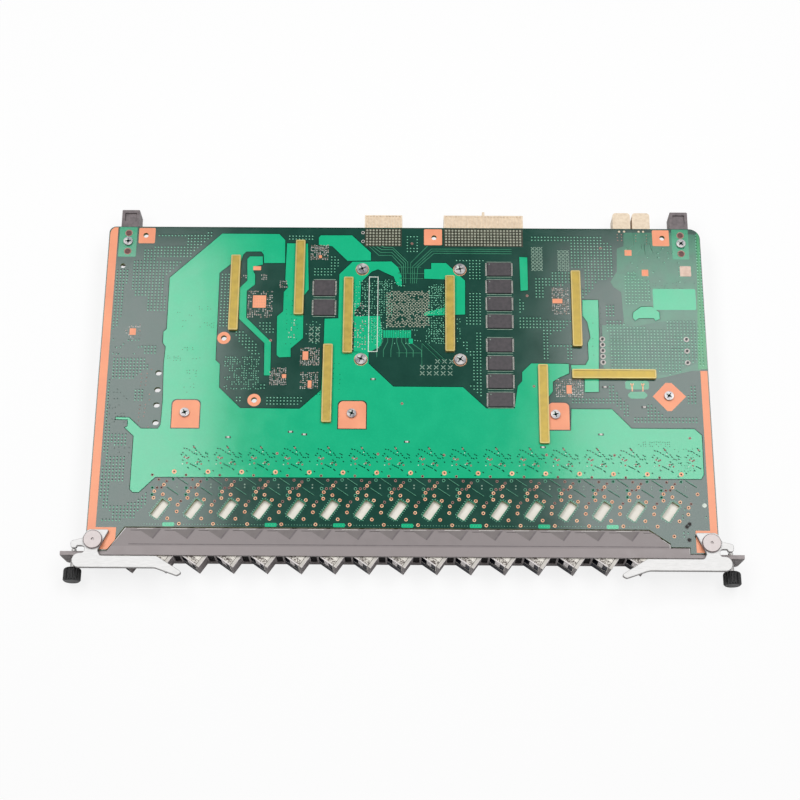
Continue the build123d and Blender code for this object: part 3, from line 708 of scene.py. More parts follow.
def make_finishes():
    bright = tuple(bpy.context.scene.line_card_finish.mask_bright)
    FINISH["board"] = board_finish()
    FINISH["pour"] = solder_mask("bright_mask", tuple(c * 0.93 for c in bright), bright)
    for key, name, shade, light in MASKS:
        FINISH[key] = solder_mask(name, lin(*shade), lin(*light))
    for key, name, dark, light, *surface in SURFACES:
        FINISH[key] = varied(name, lin(*dark), lin(*light), *surface)
    for key, gloss in DULL:
        FINISH[key].node_tree.nodes["Principled BSDF"].inputs["Specular IOR Level"].default_value = gloss
    # Painted shade on the side faces of the levers and the pivots
    shade_sides(FINISH["lever"], lin(128, 124, 124))
    shade_sides(FINISH["pivot"], lin(126, 114, 114), 0.8)
    FINISH["steel"] = cage_finish()
    FINISH["panel"] = panel_finish()
    FINISH["ochre"] = bar_finish()


def dress(finish, *nodes):
    """Gives these CAD nodes a finish; their shape is left as it is."""
    for name in nodes:
        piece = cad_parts[name]
        if not piece.material_slots:
            piece.data.materials.append(FINISH[finish])
        for slot in piece.material_slots:
            slot.material = FINISH[finish]


# Sizes and colours a user would change

class LineCardFinish(bpy.types.PropertyGroup):
    mask_dark: FloatVectorProperty(name="Bare mask", description="Solder mask over bare laminate",
                                   default=lin(18, 70, 58), subtype="COLOR", min=0, max=1)
    mask_bright: FloatVectorProperty(name="Mask over copper",
                                     description="Solder mask over the wide copper areas",
                                     default=lin(14, 182, 130), subtype="COLOR", min=0, max=1)
    bar_ochre: FloatVectorProperty(name="Bars", description="Anodised colour of the bars on the board",
                                   default=lin(186, 160, 72), subtype="COLOR", min=0, max=1)
    panel_grey: FloatVectorProperty(name="Front panel", description="Painted casting of the front panel",
                                    default=lin(132, 124, 124), subtype="COLOR", min=0, max=1)


class LineCardSizes(bpy.types.PropertyGroup):
    via_size: FloatProperty(name="Via land", description="Diameter of the lands of the small vias",
                            default=1.0 * MM, unit="LENGTH", min=0.0002, max=0.002)
    via_pitch: FloatProperty(name="Via pitch", description="Distance between the vias in a field",
                             default=2.03 * MM, unit="LENGTH", min=0.001, max=0.01)
    land_height: FloatProperty(name="Copper height", description="How far copper under the mask stands up",
                               default=0.05 * MM, unit="LENGTH", min=0.00001, max=0.0005)
    seed: IntProperty(name="Seed", description="Places the small parts on the board", default=7, min=0)


class LineCardStage(bpy.types.PropertyGroup):
    side_light: FloatProperty(name="Side panels",
                              description="Brightness of the two panels that the board mirrors",
                              default=5.6, min=0)
    floor_white: FloatProperty(name="Floor white",
                               description="Share of plain white in the floor as the camera sees it",
                               default=0.82, min=0, max=1)
    camera_height: FloatProperty(name="Camera height", description="Height of the camera over the board",
                                 default=0.9275, unit="LENGTH", min=0.1)


# The stage: the photo's camera in metres and degrees, and the soft room it stood in
LENS = 74.81
SENSOR_WIDTH = 36
CAMERA_TILT, CAMERA_SWING, CAMERA_ROLL = 69, -1.26, -0.86
CAMERA_ACROSS = 0.0061
CAMERA_BACK = 0.4707
ROOM_GREY = 0.17
FLOOR_GREY = 0.93
FLOOR_DROP = -0.0002
SIDE_PANELS = (("left_panel", -0.62, -0.225), ("right_panel", 0.185, 0.60))
SIDE_PANEL_RISE = 0.92
FRONT_LIGHT_TILT = 62


def add_panel_light(name, low, high, height, strength):
    """A flat light that hangs level over the card, between two corners given in metres."""
    light = bpy.data.lights.new(name, "AREA")
    light.shape = "RECTANGLE"
    light.size = high[0] - low[0]
    light.size_y = high[1] - low[1]
    light.energy = strength * light.size * light.size_y * pi
    lamp = bpy.data.objects.new(name, light)
    bpy.context.scene.collection.objects.link(lamp)
    lamp.location = ((low[0] + high[0]) / 2, (low[1] + high[1]) / 2, height)
    return lamp


def seen_white(tree, lit, white, output, share):
    """Mixes a share of plain white into what the camera sees, and leaves the light as it is."""
    nodes, links = tree.nodes, tree.links
    view = nodes.new("ShaderNodeLightPath")
    part = nodes.new("ShaderNodeMath")
    part.operation = "MULTIPLY"
    part.inputs[1].default_value = share
    blend = nodes.new("ShaderNodeMixShader")
    links.new(view.outputs["Is Camera Ray"], part.inputs[0])
    for source, target in zip((part, lit, white), blend.inputs):
        links.new(source.outputs[0], target)
    links.new(blend.outputs[0], nodes[output].inputs["Surface"])


class LINECARD_OT_stage(bpy.types.Operator):
    """Sets the pale floor, the soft lights and the camera of the product view"""
    bl_idname = "line_card.stage"
    bl_label = "Stage"

    def execute(self, context):
        stage = context.scene.line_card_stage
        self.lay_floor(stage)
        self.fill_room(context.scene)
        for name, left, right in SIDE_PANELS:
            add_panel_light(name, (left, -0.25), (right, 0.55), TOP + SIDE_PANEL_RISE, stage.side_light)
        lamp = add_panel_light("front_panel_light", (-0.7, -1.6), (0.7, -1.0), 0.75, 0.8)
        lamp.rotation_euler = (radians(FRONT_LIGHT_TILT), 0, 0)
        self.set_camera(context.scene, stage.camera_height)
        context.scene.view_settings.view_transform = "Standard"
        return {"FINISHED"}

    def lay_floor(self, stage):
        clear_selection()
        bpy.ops.mesh.primitive_plane_add(size=8, location=(0, 0, FLOOR_DROP))
        floor = name_active("floor")
        material, shader = start_finish("floor_white", (FLOOR_GREY, FLOOR_GREY, FLOOR_GREY), roughness=0.9)
        shader.inputs["Specular IOR Level"].default_value = 0.0
        glow = material.node_tree.nodes.new("ShaderNodeEmission")
        seen_white(material.node_tree, shader, glow, "Material Output", stage.floor_white)
        floor.data.materials.append(material)
        settle(floor)

    def fill_room(self, scene):
        world = bpy.data.worlds.new("soft_room")
        scene.world = world
        world.use_nodes = True
        back = world.node_tree.nodes["Background"]
        white = world.node_tree.nodes.new("ShaderNodeBackground")
        for node, grey in ((back, ROOM_GREY), (white, 1)):
            node.inputs["Color"].default_value = (grey, grey, grey, 1)
            node.inputs["Strength"].default_value = 1.0
        seen_white(world.node_tree, back, white, "World Output", 1.0)

    def set_camera(self, scene, height):
        camera = bpy.data.cameras.new("photo_camera")
        camera.lens = LENS
        camera.sensor_width = SENSOR_WIDTH
        camera.sensor_fit = "HORIZONTAL"
        camera.clip_start = 0.05
        camera.clip_end = 30
        seat = bpy.data.objects.new("photo_camera", camera)
        scene.collection.objects.link(seat)
        pitch, yaw, roll = radians(CAMERA_TILT), radians(CAMERA_SWING), radians(CAMERA_ROLL)
        forward = Vector((sin(yaw) * cos(pitch), cos(yaw) * cos(pitch), -sin(pitch)))
        right = Vector((cos(yaw), -sin(yaw), 0))
        up = right.cross(forward)
        across = cos(roll) * right + sin(roll) * up
        upward = -sin(roll) * right + cos(roll) * up
        turn = Matrix((across, upward, -forward)).transposed().to_4x4()
        seat.matrix_world = Matrix.Translation((CAMERA_ACROSS, REAR - CAMERA_BACK, TOP + height)) @ turn
        scene.camera = seat


# The board: copper areas that show through the mask, in mm across and forward from the rear edge
MAIN_POUR = [
    (-113.1, 4.6), (-77.6, 4.7), (-73.8, 8.9), (-73.4, 24.6), (-86.4, 24.7), (-86.8, 18.8), (-88.3, 16.8),
    (-97.6, 16.9), (-99.4, 18.9), (-100.6, 23.7), (-106.9, 25.6), (-113.5, 31.5), (-113.3, 89.6),
    (-110.6, 92.1), (-110.3, 107.4), (-97.1, 120.5), (-61.5, 120.7), (-49.0, 108.6), (-48.2, 77.9),
    (-48.1, 62.0), (-39.7, 61.7), (-39.7, 32.1), (-31.7, 23.5), (-7.7, 23.2), (-3.7, 27.1), (-1.3, 33.6),
    (-1.2, 40.5), (-4.6, 38.6), (-6.2, 33.5), (-11.1, 31.1), (-15.9, 28.5), (-19.8, 30.2), (-26.2, 37.2),
    (-26.5, 52.6), (-29.5, 56.1), (-30.9, 69.4), (-30.9, 83.6), (-21.0, 84.1), (-20.9, 91.3),
    (-5.8, 106.2), (35.9, 106.3), (49.9, 119.9), (66.7, 119.8), (68.8, 105.5), (71.5, 102.2),
    (71.6, 96.4), (77.1, 90.7), (99.7, 90.9), (99.7, 97.1), (94.2, 99.6), (89.8, 102.5), (89.7, 108.6),
    (87.0, 112.3), (86.5, 133.8), (99.9, 133.7), (100.5, 120.0), (124.6, 119.9), (135.8, 132.1),
    (173.0, 132.2), (177.2, 136.3), (176.9, 160.8), (175.2, 163.4), (-145.1, 164.0), (-154.4, 173.5),
    (-158.0, 173.4), (-159.6, 171.5), (-159.6, 138.5), (-164.0, 134.4), (-165.2, 133.3), (-163.6, 132.5),
    (-163.7, 128.2), (-170.9, 128.0), (-171.0, 126.7), (-163.0, 126.9), (-155.7, 133.8), (-145.5, 133.8),
    (-144.0, 131.2), (-143.6, 116.6), (-144.4, 91.9), (-143.9, 81.0), (-145.7, 78.5), (-145.8, 71.2),
    (-143.9, 69.4), (-144.1, 35.0)]
LEFT_BRANCH = [
    (-95.3, 20.2), (-87.4, 20.2), (-87.0, 25.7), (-92.9, 27.2), (-92.7, 30.6), (-91.6, 32.4), (-91.4, 39.3),
    (-96.3, 43.6), (-95.9, 61.5), (-80.2, 77.5), (-79.9, 99.4), (-83.7, 99.4), (-84.2, 78.3), (-100.2, 62.4),
    (-101.0, 41.9), (-96.2, 36.7), (-96.8, 22.0)]
MIDDLE_BRANCH = [
    (-72.6, 11.1), (-59.6, 11.2), (-58.3, 42.5), (-61.3, 46.8), (-60.9, 74.9), (-68.2, 81.8), (-68.0, 87.3),
    (-74.9, 87.6), (-76.5, 86.1), (-77.1, 60.6), (-73.5, 57.2), (-73.5, 44.3), (-70.9, 40.9), (-72.9, 35.7)]
TOP_POUR = [
    (-51.8, 5.5), (-32.4, 5.4), (-23.6, 14.1), (-20.5, 17.2), (-20.4, 22.6), (-34.9, 22.9), (-44.5, 12.9),
    (-52.9, 12.1), (-53.0, 7.2)]
ARRAY_POUR = [
    (-30.0, 60.2), (-14.5, 60.0), (-13.4, 69.0), (-12.6, 69.4), (-13.4, 79.5), (-20.5, 84.0), (-30.0, 84.0)]
SCREW_POUR = [
    (16.8, 24.1), (25.9, 24.1), (37.6, 36.0), (37.5, 58.7), (12.6, 59.7), (12.6, 57.5), (25.0, 54.1),
    (25.5, 35.2), (12.5, 34.8), (12.5, 28.3), (16.8, 28.3)]
SLIM_POUR = [(71.2, 19.7), (76.1, 20.0), (76.1, 42.2), (71.6, 42.7)]
STRIP_POUR = [
    (109.2, 48.6), (118.9, 48.6), (118.6, 68.8), (117.2, 108.9), (108.8, 109.1), (109.1, 97.8), (101.9, 97.9),
    (101.0, 91.6), (109.7, 91.6), (111.8, 87.9), (111.7, 77.0), (113.4, 73.7), (111.8, 63.3), (108.9, 59.1)]
RIGHT_FIELD = [
    (131.6, 13.7), (131.0, 29.4), (126.8, 36.3), (128.6, 39.8), (133.2, 43.2), (134.0, 61.9), (133.1, 65.3),
    (120.7, 65.4), (120.6, 93.6), (147.5, 100.4), (152.4, 100.4), (173.5, 95.0), (178.7, 94.9), (181.6, 81.3),
    (181.6, 4.0), (165.8, 2.6), (136.2, 2.6), (135.8, 12.0)]
DIAMOND = [(149.3, 111.6), (157.3, 102.9), (160.9, 102.9), (169.2, 111.6), (160.2, 120.9), (157.6, 120.9)]
TAB_PADS = [(-137.7, 115.5, -121.2, 133.2), (-38.4, 115.7, -21.9, 133.1), (86.6, 116.0, 99.2, 133.1)]
CLAMP_PADS = [(-164.9, 0.9, -154.7, 11.5), (12.3, 0.9, 23.5, 11.9), (153.8, 0.9, 164.2, 11.8)]
RIGHT_RECTANGLE = (152.4, 40.9, 178.5, 55.0)
RIGHT_ARCH = [(139.5, 60.2), (140.0, 56.8), (144.8, 53.0), (151.5, 52.9), (155.9, 56.7), (155.9, 61.0),
              (153.3, 62.3), (152.3, 60.6), (143.3, 60.6), (140.9, 62.3)]
RIGHT_EDGE = [(181.2, 2.0), (183.0, 5.0), (183.0, 94.0), (177.4, 94.0), (180.2, 30.0)]
GUIDE_LANDS = [(-177.0, 0.4, -166.0, 20.8), (165.8, 0.4, 176.0, 20.9)]
LEFT_STRIP = [(-180.2, 0.6), (-178.0, 0.6), (-178.0, 194.9), (-166.0, 194.9), (-166.2, 202.4),
              (-170.6, 208.2), (-175.0, 208.2), (-179.0, 204.0), (-182.8, 200.0), (-182.8, 4.2),
              (-182.0, 2.0)]
RIGHT_STRIP = [(178.6, 95.0), (182.8, 95.0), (182.8, 200.0), (179.0, 204.0), (175.0, 208.2), (170.2, 208.2),
               (170.2, 194.9), (178.6, 194.9)]
RIGHT_SHADE = [(124.6, 69.5), (136.0, 67.0), (156.0, 62.8), (178.0, 62.0), (176.5, 90.0), (160.5, 98.0),
               (124.6, 95.0)]
CLAMP_HOLES = [(-160.5, 6.0), (18.5, 6.7), (159.9, 6.3)]
CLAMP_RADIUS = 1.65
RING_HOLES = [(-108.9, 75.1), (-89.0, 115.3)]

# Outlines that hold even fields of small vias
VIA_FIELDS = [
    [(-152.5, 4.5), (-118, 4), (-122.5, 10), (-133.5, 22), (-162, 22.5), (-162.5, 14.5), (-135, 13.5),
     (-135, 7.5), (-152.5, 7)],
    [(-168, 23.5), (-134.5, 23), (-145, 32), (-147, 34.5), (-145.5, 57.5), (-157.5, 57.5), (-158, 48.5),
     (-166, 48.5)],
    [(-177.5, 29.5), (-170, 29.5), (-169, 38), (-172.5, 40), (-171.5, 57), (-175, 70.5), (-177, 70.5),
     (-177.5, 39)], [(-158.5, 79.5), (-149, 79.5), (-148.5, 86.5), (-158, 86.5)],
    [(-112, 31.5), (-107.2, 30.5), (-106.5, 69), (-112, 69)],
    [(-103, 69.5), (-97.5, 69), (-88, 79.5), (-87, 85.5), (-92.5, 85.5), (-102, 74.5)],
    [(-87.5, 63.5), (-79.5, 63.5), (-79, 71.5), (-83, 71.5), (-87.5, 67)],
    [(-72.5, 4.2), (-55, 4.2), (-55, 8.6), (-72.5, 8.6)],
    [(-56.5, 27), (-46.5, 27), (-44.5, 19), (-42.5, 19), (-39, 23), (-39, 26.5), (-45, 33.5),
     (-56.5, 34)],
    [(30.5, 20.6), (50.5, 20.6), (50.5, 22.5), (48.5, 23), (48.5, 36.5), (39, 36.5), (39, 22.5),
     (30.5, 22.5)], [(40.5, 43.5), (48.5, 43.5), (48.5, 66.5), (37, 67), (37, 60), (40.5, 60)],
    [(44.6, 70), (48.6, 70), (48.6, 83), (48.4, 113.5), (39, 105.5), (43, 104.5), (41, 91.5), (40.4, 85),
     (37, 83), (36, 75.5), (38.6, 75.5), (38.6, 82.5), (44.6, 83)],
    [(77.5, 4.2), (103, 4.2), (103, 8), (87.5, 9.9), (77.5, 9.9)],
    [(102, 4.2), (122, 4.2), (122, 7), (129, 12), (128.5, 27), (130, 33), (119.5, 36), (110.5, 47),
     (109.5, 47), (110, 27.5), (102, 27.5)],
    [(80, 33), (89.5, 33), (90, 30), (103, 30), (103, 38), (93.5, 39), (86.5, 39.5), (86.5, 46.5),
     (82, 48.5), (79.5, 46.5)],
    [(71.5, 60), (84.5, 60), (85, 62.5), (102, 62), (102, 64), (98, 68.5), (88.5, 71.5), (84, 69),
     (69.5, 69), (69.5, 62.5)],
    [(84, 70.5), (87.3, 70.5), (87.3, 77.5), (102, 77.5), (102.5, 87.5), (98, 87.5), (98, 81), (87.3, 81),
     (87.3, 87.5), (83.5, 87.5)], [(70, 48), (74.5, 50.5), (74, 54), (70, 58.5)],
    [(122.5, 51), (130, 51), (129.5, 59), (122, 59)],
    [(137, 29), (143, 29), (142.5, 33.5), (151, 35.5), (150.5, 50.5), (134.5, 51), (135, 34)],
    [(123, 62), (133, 62), (135.5, 66.5), (158.5, 67.5), (158.5, 62), (178, 62), (176.5, 89.5),
     (168.5, 91.5), (168, 95), (160.5, 98), (153, 96), (153, 93.5), (124, 93.5), (124.5, 71.5),
     (123, 69.5)], [(180, 3), (182.5, 3), (183, 33.5), (182.5, 93), (177.5, 93), (180, 33.5)],
    [(100.5, 113), (123.5, 112.5), (123, 104), (126.5, 104), (128, 109), (131, 115), (135.5, 116.5),
     (135, 126), (132.5, 124.5), (126, 117), (100.5, 117)],
    [(136.5, 124.5), (176, 124.5), (175.5, 128.5), (136.5, 128.5)],
    [(145, 117), (149.5, 117), (155.5, 123.5), (155.5, 124.5), (145, 124.5)],
    [(171.5, 104.5), (175.5, 104.5), (175, 116), (169.5, 116)],
    [(-175.5, 88), (-154.5, 88), (-154, 97), (-160, 98), (-160.5, 102), (-175.5, 102)],
    [(-162, 108.5), (-155, 108.5), (-154.5, 117.5), (-161.5, 117.5)],
    [(-173, 137), (-163, 137), (-162.5, 144.5), (-172.5, 144.5)],
    [(-175, 150), (-163.5, 151.5), (-162.5, 167.5), (-172, 167.5), (-170.5, 182), (-155.5, 180),
     (-155, 178), (-150, 174), (-148.5, 180.5), (-154.5, 185), (-156.5, 187.5), (-153.5, 189.5),
     (-169.5, 189.5), (-171.5, 184), (-176.5, 183.5), (-177, 160)],
    [(-178, 102), (-175.5, 102), (-174, 150), (-177, 150)],
    [(-101, 112.5), (-96, 112.5), (-95.5, 117.5), (-98.5, 117.5), (-101, 114)],
    [(-83, 112.3), (-59.5, 112.3), (-61.5, 118.2), (-82.5, 118.2)],
    [(-87, 105), (-83, 105), (-83, 109), (-87, 109)],
    [(-176.5, 190.2), (-163, 190.2), (-163, 192.2), (-176.5, 192.2)],
    [(0.5, 4.4), (3, 4.4), (3, 14), (8, 14), (8, 7), (3, 7), (3, 4.4), (10, 4.4), (10, 16.5), (6.5, 18),
     (2.5, 18), (0.5, 15)], ]

# Tracks that fan out from the connectors to the processor and on
CONNECTOR_TRACKS = [
    [(-21.5, 13), (-15.5, 19), (-7.5, 19), (-1.3, 26.5), (-1.3, 33)],
    [(-19.5, 13), (-14.5, 17), (-7.5, 17), (-0.2, 25), (-0.2, 38)],
    [(-17, 13), (-14, 15), (-7, 15), (1, 24), (1.2, 38)],
    [(-14, 12.5), (-12.5, 13.5), (-7, 13.5), (2.4, 23.5), (2.4, 31)],
    [(14.5, 12.5), (4.2, 24), (4.2, 38)],
    [(66.5, 14.5), (17, 14.5), (5.4, 26.5), (5.4, 38)],
    [(66.5, 15.9), (17.5, 15.9), (6.6, 27.5), (6.6, 38)],
    [(66.5, 17.5), (18.5, 17.5), (8.6, 27), (7.8, 38)],
]
CROSSING_TRACKS = [
    [(-3.8, 27), (10.5, 27)], [(-3.8, 31.2), (12.5, 31.2)], [(-3, 34.6), (12, 34.6)],
    [(11.5, 78), (23, 90)], [(14.5, 78), (26, 89.5)], [(11.3, 78), (11.3, 93)], [(-4, 84.2), (11.3, 84.2)],
    [(123, 76), (134, 76)], [(123, 80), (134, 80)], [(123, 84.6), (134, 84.6)],
    [(161, 81), (169, 81)], [(162, 73.4), (168, 73.4)],
    [(146.4, 10.5), (146.4, 14), (143.5, 17)], [(148.5, 10.5), (148.5, 18)], [(151.5, 10), (153.5, 17)],
    [(141.6, 3), (141.6, 11.5), (139, 14)]]
FAN_STARTS = [-12.5, -9.5, -6.5, -4.0, -1.0, 1.5, 4.0]
FAN_ENDS = [-16.0, -12.0, -7.5, -2.5, 2.0, 6.0, 11.0]

# Crowded patches of small parts: a rectangle, the spacing of its parts, and how full it is
PART_PATCHES = [
    (-58, 12, -47, 22.5, 1.15, 0.9), (-95.5, 43.5, -80, 61.5, 1.3, 0.62),
    (-62.5, 81, -50.3, 93, 1.2, 0.85), (-62, 97, -50.5, 108.5, 1.25, 0.75),
    (-80.5, 94.3, -69.7, 105.5, 1.15, 0.9), (90.3, 40.5, 100.5, 58.5, 1.2, 0.8),
    (91.3, 100.5, 108.5, 112.5, 1.2, 0.88), (-169, 66, -159.5, 76.5, 1.35, 0.5),
    (-76.5, 36.5, -71.8, 41.5, 1.3, 0.9), (-100.5, 32.5, -97, 35.5, 1.3, 0.9),
    (-88, 32.5, -84.2, 36, 1.3, 0.9), (-31.5, 63, -22, 82.8, 1.5, 0.5),
    (-30.5, 51, -22.3, 60.5, 1.6, 0.45), (90.5, 36.6, 98, 40, 1.6, 0.4), (-70.5, 62.5, -66, 75, 1.6, 0.5)]
# Loose patches of tiny vias, lighter than the mask
DOT_PATCHES = [
    (-32, 36, -22, 58, 1.9, 0.55), (-14.5, 38, -9, 68, 1.7, 0.6), (15, 40, 29, 58, 1.7, 0.55),
    (13, 62, 29, 78, 1.7, 0.6), (-12, 35, 2, 43, 1.9, 0.4), (-26, 62, -14, 82, 2.0, 0.4),
    (-108, 87, -85.6, 109, 1.45, 0.6), (-26, 36, -6, 60.5, 1.5, 0.62), (-20, 61, -12.5, 76, 1.5, 0.6),
    (14.8, 38, 25, 79, 1.5, 0.68), (-6, 68.5, 14.5, 79.5, 1.7, 0.3), (32, 61, 35, 78, 1.6, 0.5),
    (136, 12, 170, 36, 3.2, 0.3), (-60, 63, -50, 79, 2.0, 0.4), (-177, 76, -160, 88, 2.2, 0.4)]
# Patches of dark pinholes in the bright areas
SPECK_PATCHES = [
    (-125.5, 53.5, -115.5, 57.5, 1.7, 0.5), (-139, 57.5, -128, 68.5, 1.8, 0.35),
    (-124.5, 64.5, -115, 69, 1.4, 0.5), (-134.5, 80.5, -126.5, 84, 1.6, 0.5),
    (-143, 86.5, -134, 91, 1.3, 0.6), (-134, 87.5, -122, 89.5, 2.0, 0.6),
    (-131, 95.5, -124, 102, 1.8, 0.35), (-132, 104.5, -124, 111.5, 1.8, 0.35),
    (-57, 89.5, -36.5, 111, 3.4, 0.35), (-52, 108, -42, 112.5, 1.4, 0.6),
    (-176, 118, -163, 130, 1.8, 0.4), (-176, 108, -164, 116, 2.0, 0.4),
    (-172, 144.5, -160, 150, 3.0, 0.4), (139, 140, 158, 143.5, 1.3, 0.55), (160, 144, 172, 160, 1.7, 0.4),
    (119.5, 51, 120.5, 90, 1.2, 0.5), (150, 36, 178, 40.5, 1.8, 0.4), (112, 52, 118, 108, 5.0, 0.5),
    (-113, 8, -76, 22, 6.0, 0.4), (-73, 45, -64, 80, 3.2, 0.5)]
X_LATTICES = [(78.4, 12.8, 85.6, 29.2, 2.5), (94.6, 14.8, 102.0, 29.4, 2.5), (9.4, 91.6, 30.4, 99.4, 4.1),
              (18.6, 87.8, 31.2, 91.6, 4.1), (-57.8, 66.8, -50.2, 78, 3.8)]
SMALL_PADS = [
    (-60.8, 83.6, -57.4, 89.2), (-72.8, 98.5, -70.3, 101.1), (-57.2, 102.5, -54.9, 107.2),
    (90.9, 47.9, 97.0, 50.9), (97.9, 104.6, 101.1, 110.1), (-52.6, 19.1, -50.7, 21.1),
    (-92.9, 26.9, -88.1, 29.6), (136.3, 14.6, 140.6, 18.5), (146.3, 28.0, 150.3, 32.3),
    (-166.4, 69.0, -162.6, 73.4), (-92.3, 46.6, -84.2, 54.9)]
PALE_PADS = [(169.8, 25.5, 176.6, 32.4)]
OPEN_RINGS = [(-0.5, 117.0), (-14.5, 149.0), (24.5, 149.5), (-74.0, 149.0), (85.0, 149.0), (125.0, 149.0),
              (170.0, 138.0), (78.5, 105.5), (121.5, 13.5), (75.5, 46.0), (-80.5, 76.5), (4.9, 10.9)]
RED_COLUMNS = [(-157.5, 99), (-157, 101.5), (-154, 98.5), (-154.2, 101), (-157.3, 104), (-154.4, 103.5),
               (-157.6, 106.5), (-154.6, 106), (-157, 119), (-157.2, 121.5), (-153.8, 118.5), (-154, 121),
               (-157.4, 124), (-154.2, 123.5), (-157.5, 126.5), (-154.4, 126), (-157.3, 129),
               (-151.5, 96), (-151.8, 112), (-151.6, 115.5), (-151.4, 132.8), (132.2, 4), (132.2, 6),
               (132.4, 8), (134.8, 4), (134.8, 6), (134.8, 8), (143.6, 4.4), (143.6, 6.4), (143.6, 8.4),
               (150.2, 4.4), (150.2, 6.4), (150.2, 8.4), (150.2, 10.4)]

# One port's marks on the board, in mm across and forward from the middle of its window
PORT_RINGS = [(1.7, -14.7), (-3.7, -10.6), (-3.9, -6.6), (1.4, -8.8), (5.8, -5.7), (10.5, -2.4), (10.1, 1.7),
              (4.8, 5.9), (11.8, 9.1)]
PORT_BIG_RINGS = [(7.3, -22.8)]
PORT_DIM_RINGS = [(3.2, -16.8), (0.3, -13.0), (-2.2, -12.8), (-1.5, -17.9), (12.1, -4.7), (-5.5, -20.7)]
PORT_GREEN_RINGS = [(-5.0, -12.8), (6.9, -18.2), (-5.0, -8.6)]
PORT_DOTS = [(9.4, -15.1), (9.4, -13.3)]
PORT_TRACKS = [[(9.7, -19.3), (16.0, -15.0)], [(3.7, -13.4), (10.6, -8.7)]]
PORT_SPECKS = [
    (-7.5, -37.4), (-5.9, -37.1), (-4.3, -36.2), (-2.7, -35.1), (-1.3, -34.2), (-2.1, -38.8),
    (-1.1, -37.4), (-0.3, -36.2), (0, -33.6), (1.6, -34.8), (2.4, -33.6), (3.5, -32.2), (4.8, -31.9),
    (2.7, -29.3), (1.3, -30.5), (1.9, -28.8), (0.8, -27.6), (-3.2, -27.6), (-2.1, -27), (-1.1, -26.5),
    (0, -25.9), (1.9, -24.7), (2.4, -24.2), (6.4, -33.9), (6.4, -32.2), (5.4, -34.5), (-9, -33.4),
    (-8.1, -34.6), (-6.2, -33), (5.5, -21.4), (10.3, -23.4), (-4.6, -25.2), (7.4, -29.6), (-7.9, -29.9)]
PORT_PINK = [(-7.0, -31.9), (-5.6, -31.1), (-4.6, -31.6), (0.8, -28.8), (-5.4, -28.2), (3.1, -27.6),
             (-1.6, -38.0)]
PORT_WHITE = [(-8.0, -27.6), (-6.2, -31.4), (-0.2, -28.2), (-0.6, -35.4)]


# The lower face: loose parts, packages, inductors and via fields
UNDER_PATCHES = [(-112, 20, -60, 36, 2.6, 0.3), (-112, 60, -46, 100, 3.2, 0.28),
                 (-160, 30, -120, 70, 4.2, 0.22), (55, 24, 100, 52, 2.8, 0.3),
                 (60, 80, 108, 108, 2.8, 0.3), (-165, 135, 165, 156, 3.4, 0.3),
                 (-34, 20, -31, 98, 2.2, 0.4), (42, 20, 46, 98, 2.2, 0.4)]
UNDER_PACKAGES = [(-98, 48), (-76, 48), (-54, 48), (-98, 78), (66, 66), (84, 66), (-140, 100), (106, 30)]
UNDER_INDUCTORS = [(-160, 118), (-140.5, 84), (104, 128), (114, 128), (-62, 28), (160, 120), (-128, 110)]
UNDER_FIELDS = [[(-176, 30), (-166, 30), (-166, 190), (-176, 190)],
                [(-160, 4), (-120, 4), (-130, 22), (-160, 22)], [(80, 4), (124, 4), (124, 24), (80, 24)],
                [(166, 110), (178, 110), (178, 190), (166, 190)],
                [(120, 106), (150, 106), (150, 118), (120, 118)]]


def window_spot(index):
    return port_place(index, WINDOW_ACROSS, WINDOW_ALONG)


def on_pour(places):
    """Leaves out the places past the right end of the wide copper area."""
    return [place for place in places if place[0] < 175.6]


def at_ports(places, ports=range(PORTS), turn=0.0):
    """These places round each port's window, as (across, depth, turn)."""
    made = []
    for i in ports:
        x, d = window_spot(i)
        made += [(x + dx, d + dd, turn) for dx, dd in places]
    return made


def port_lines(right, forward):
    """The tracks by each port's window, moved by this much."""
    made = []
    for i in range(PORTS):
        x, d = window_spot(i)
        made += [[(x + dx + right, d + dd + forward) for dx, dd in line] for line in PORT_TRACKS]
    return made


def patch(x0, d0, x1, d1, step, share, dice):
    """Places on a loose grid in a rectangle, each a little off its knot, with a quarter turn or none."""
    places = []
    for j in range(int((d1 - d0) / step + 0.5)):
        for i in range(int((x1 - x0) / step + 0.5)):
            if dice.random() < share:
                places.append((x0 + (i + 0.5 + dice.uniform(-0.16, 0.16)) * step,
                               d0 + (j + 0.5 + dice.uniform(-0.16, 0.16)) * step, dice.choice((0, 90))))
    return places


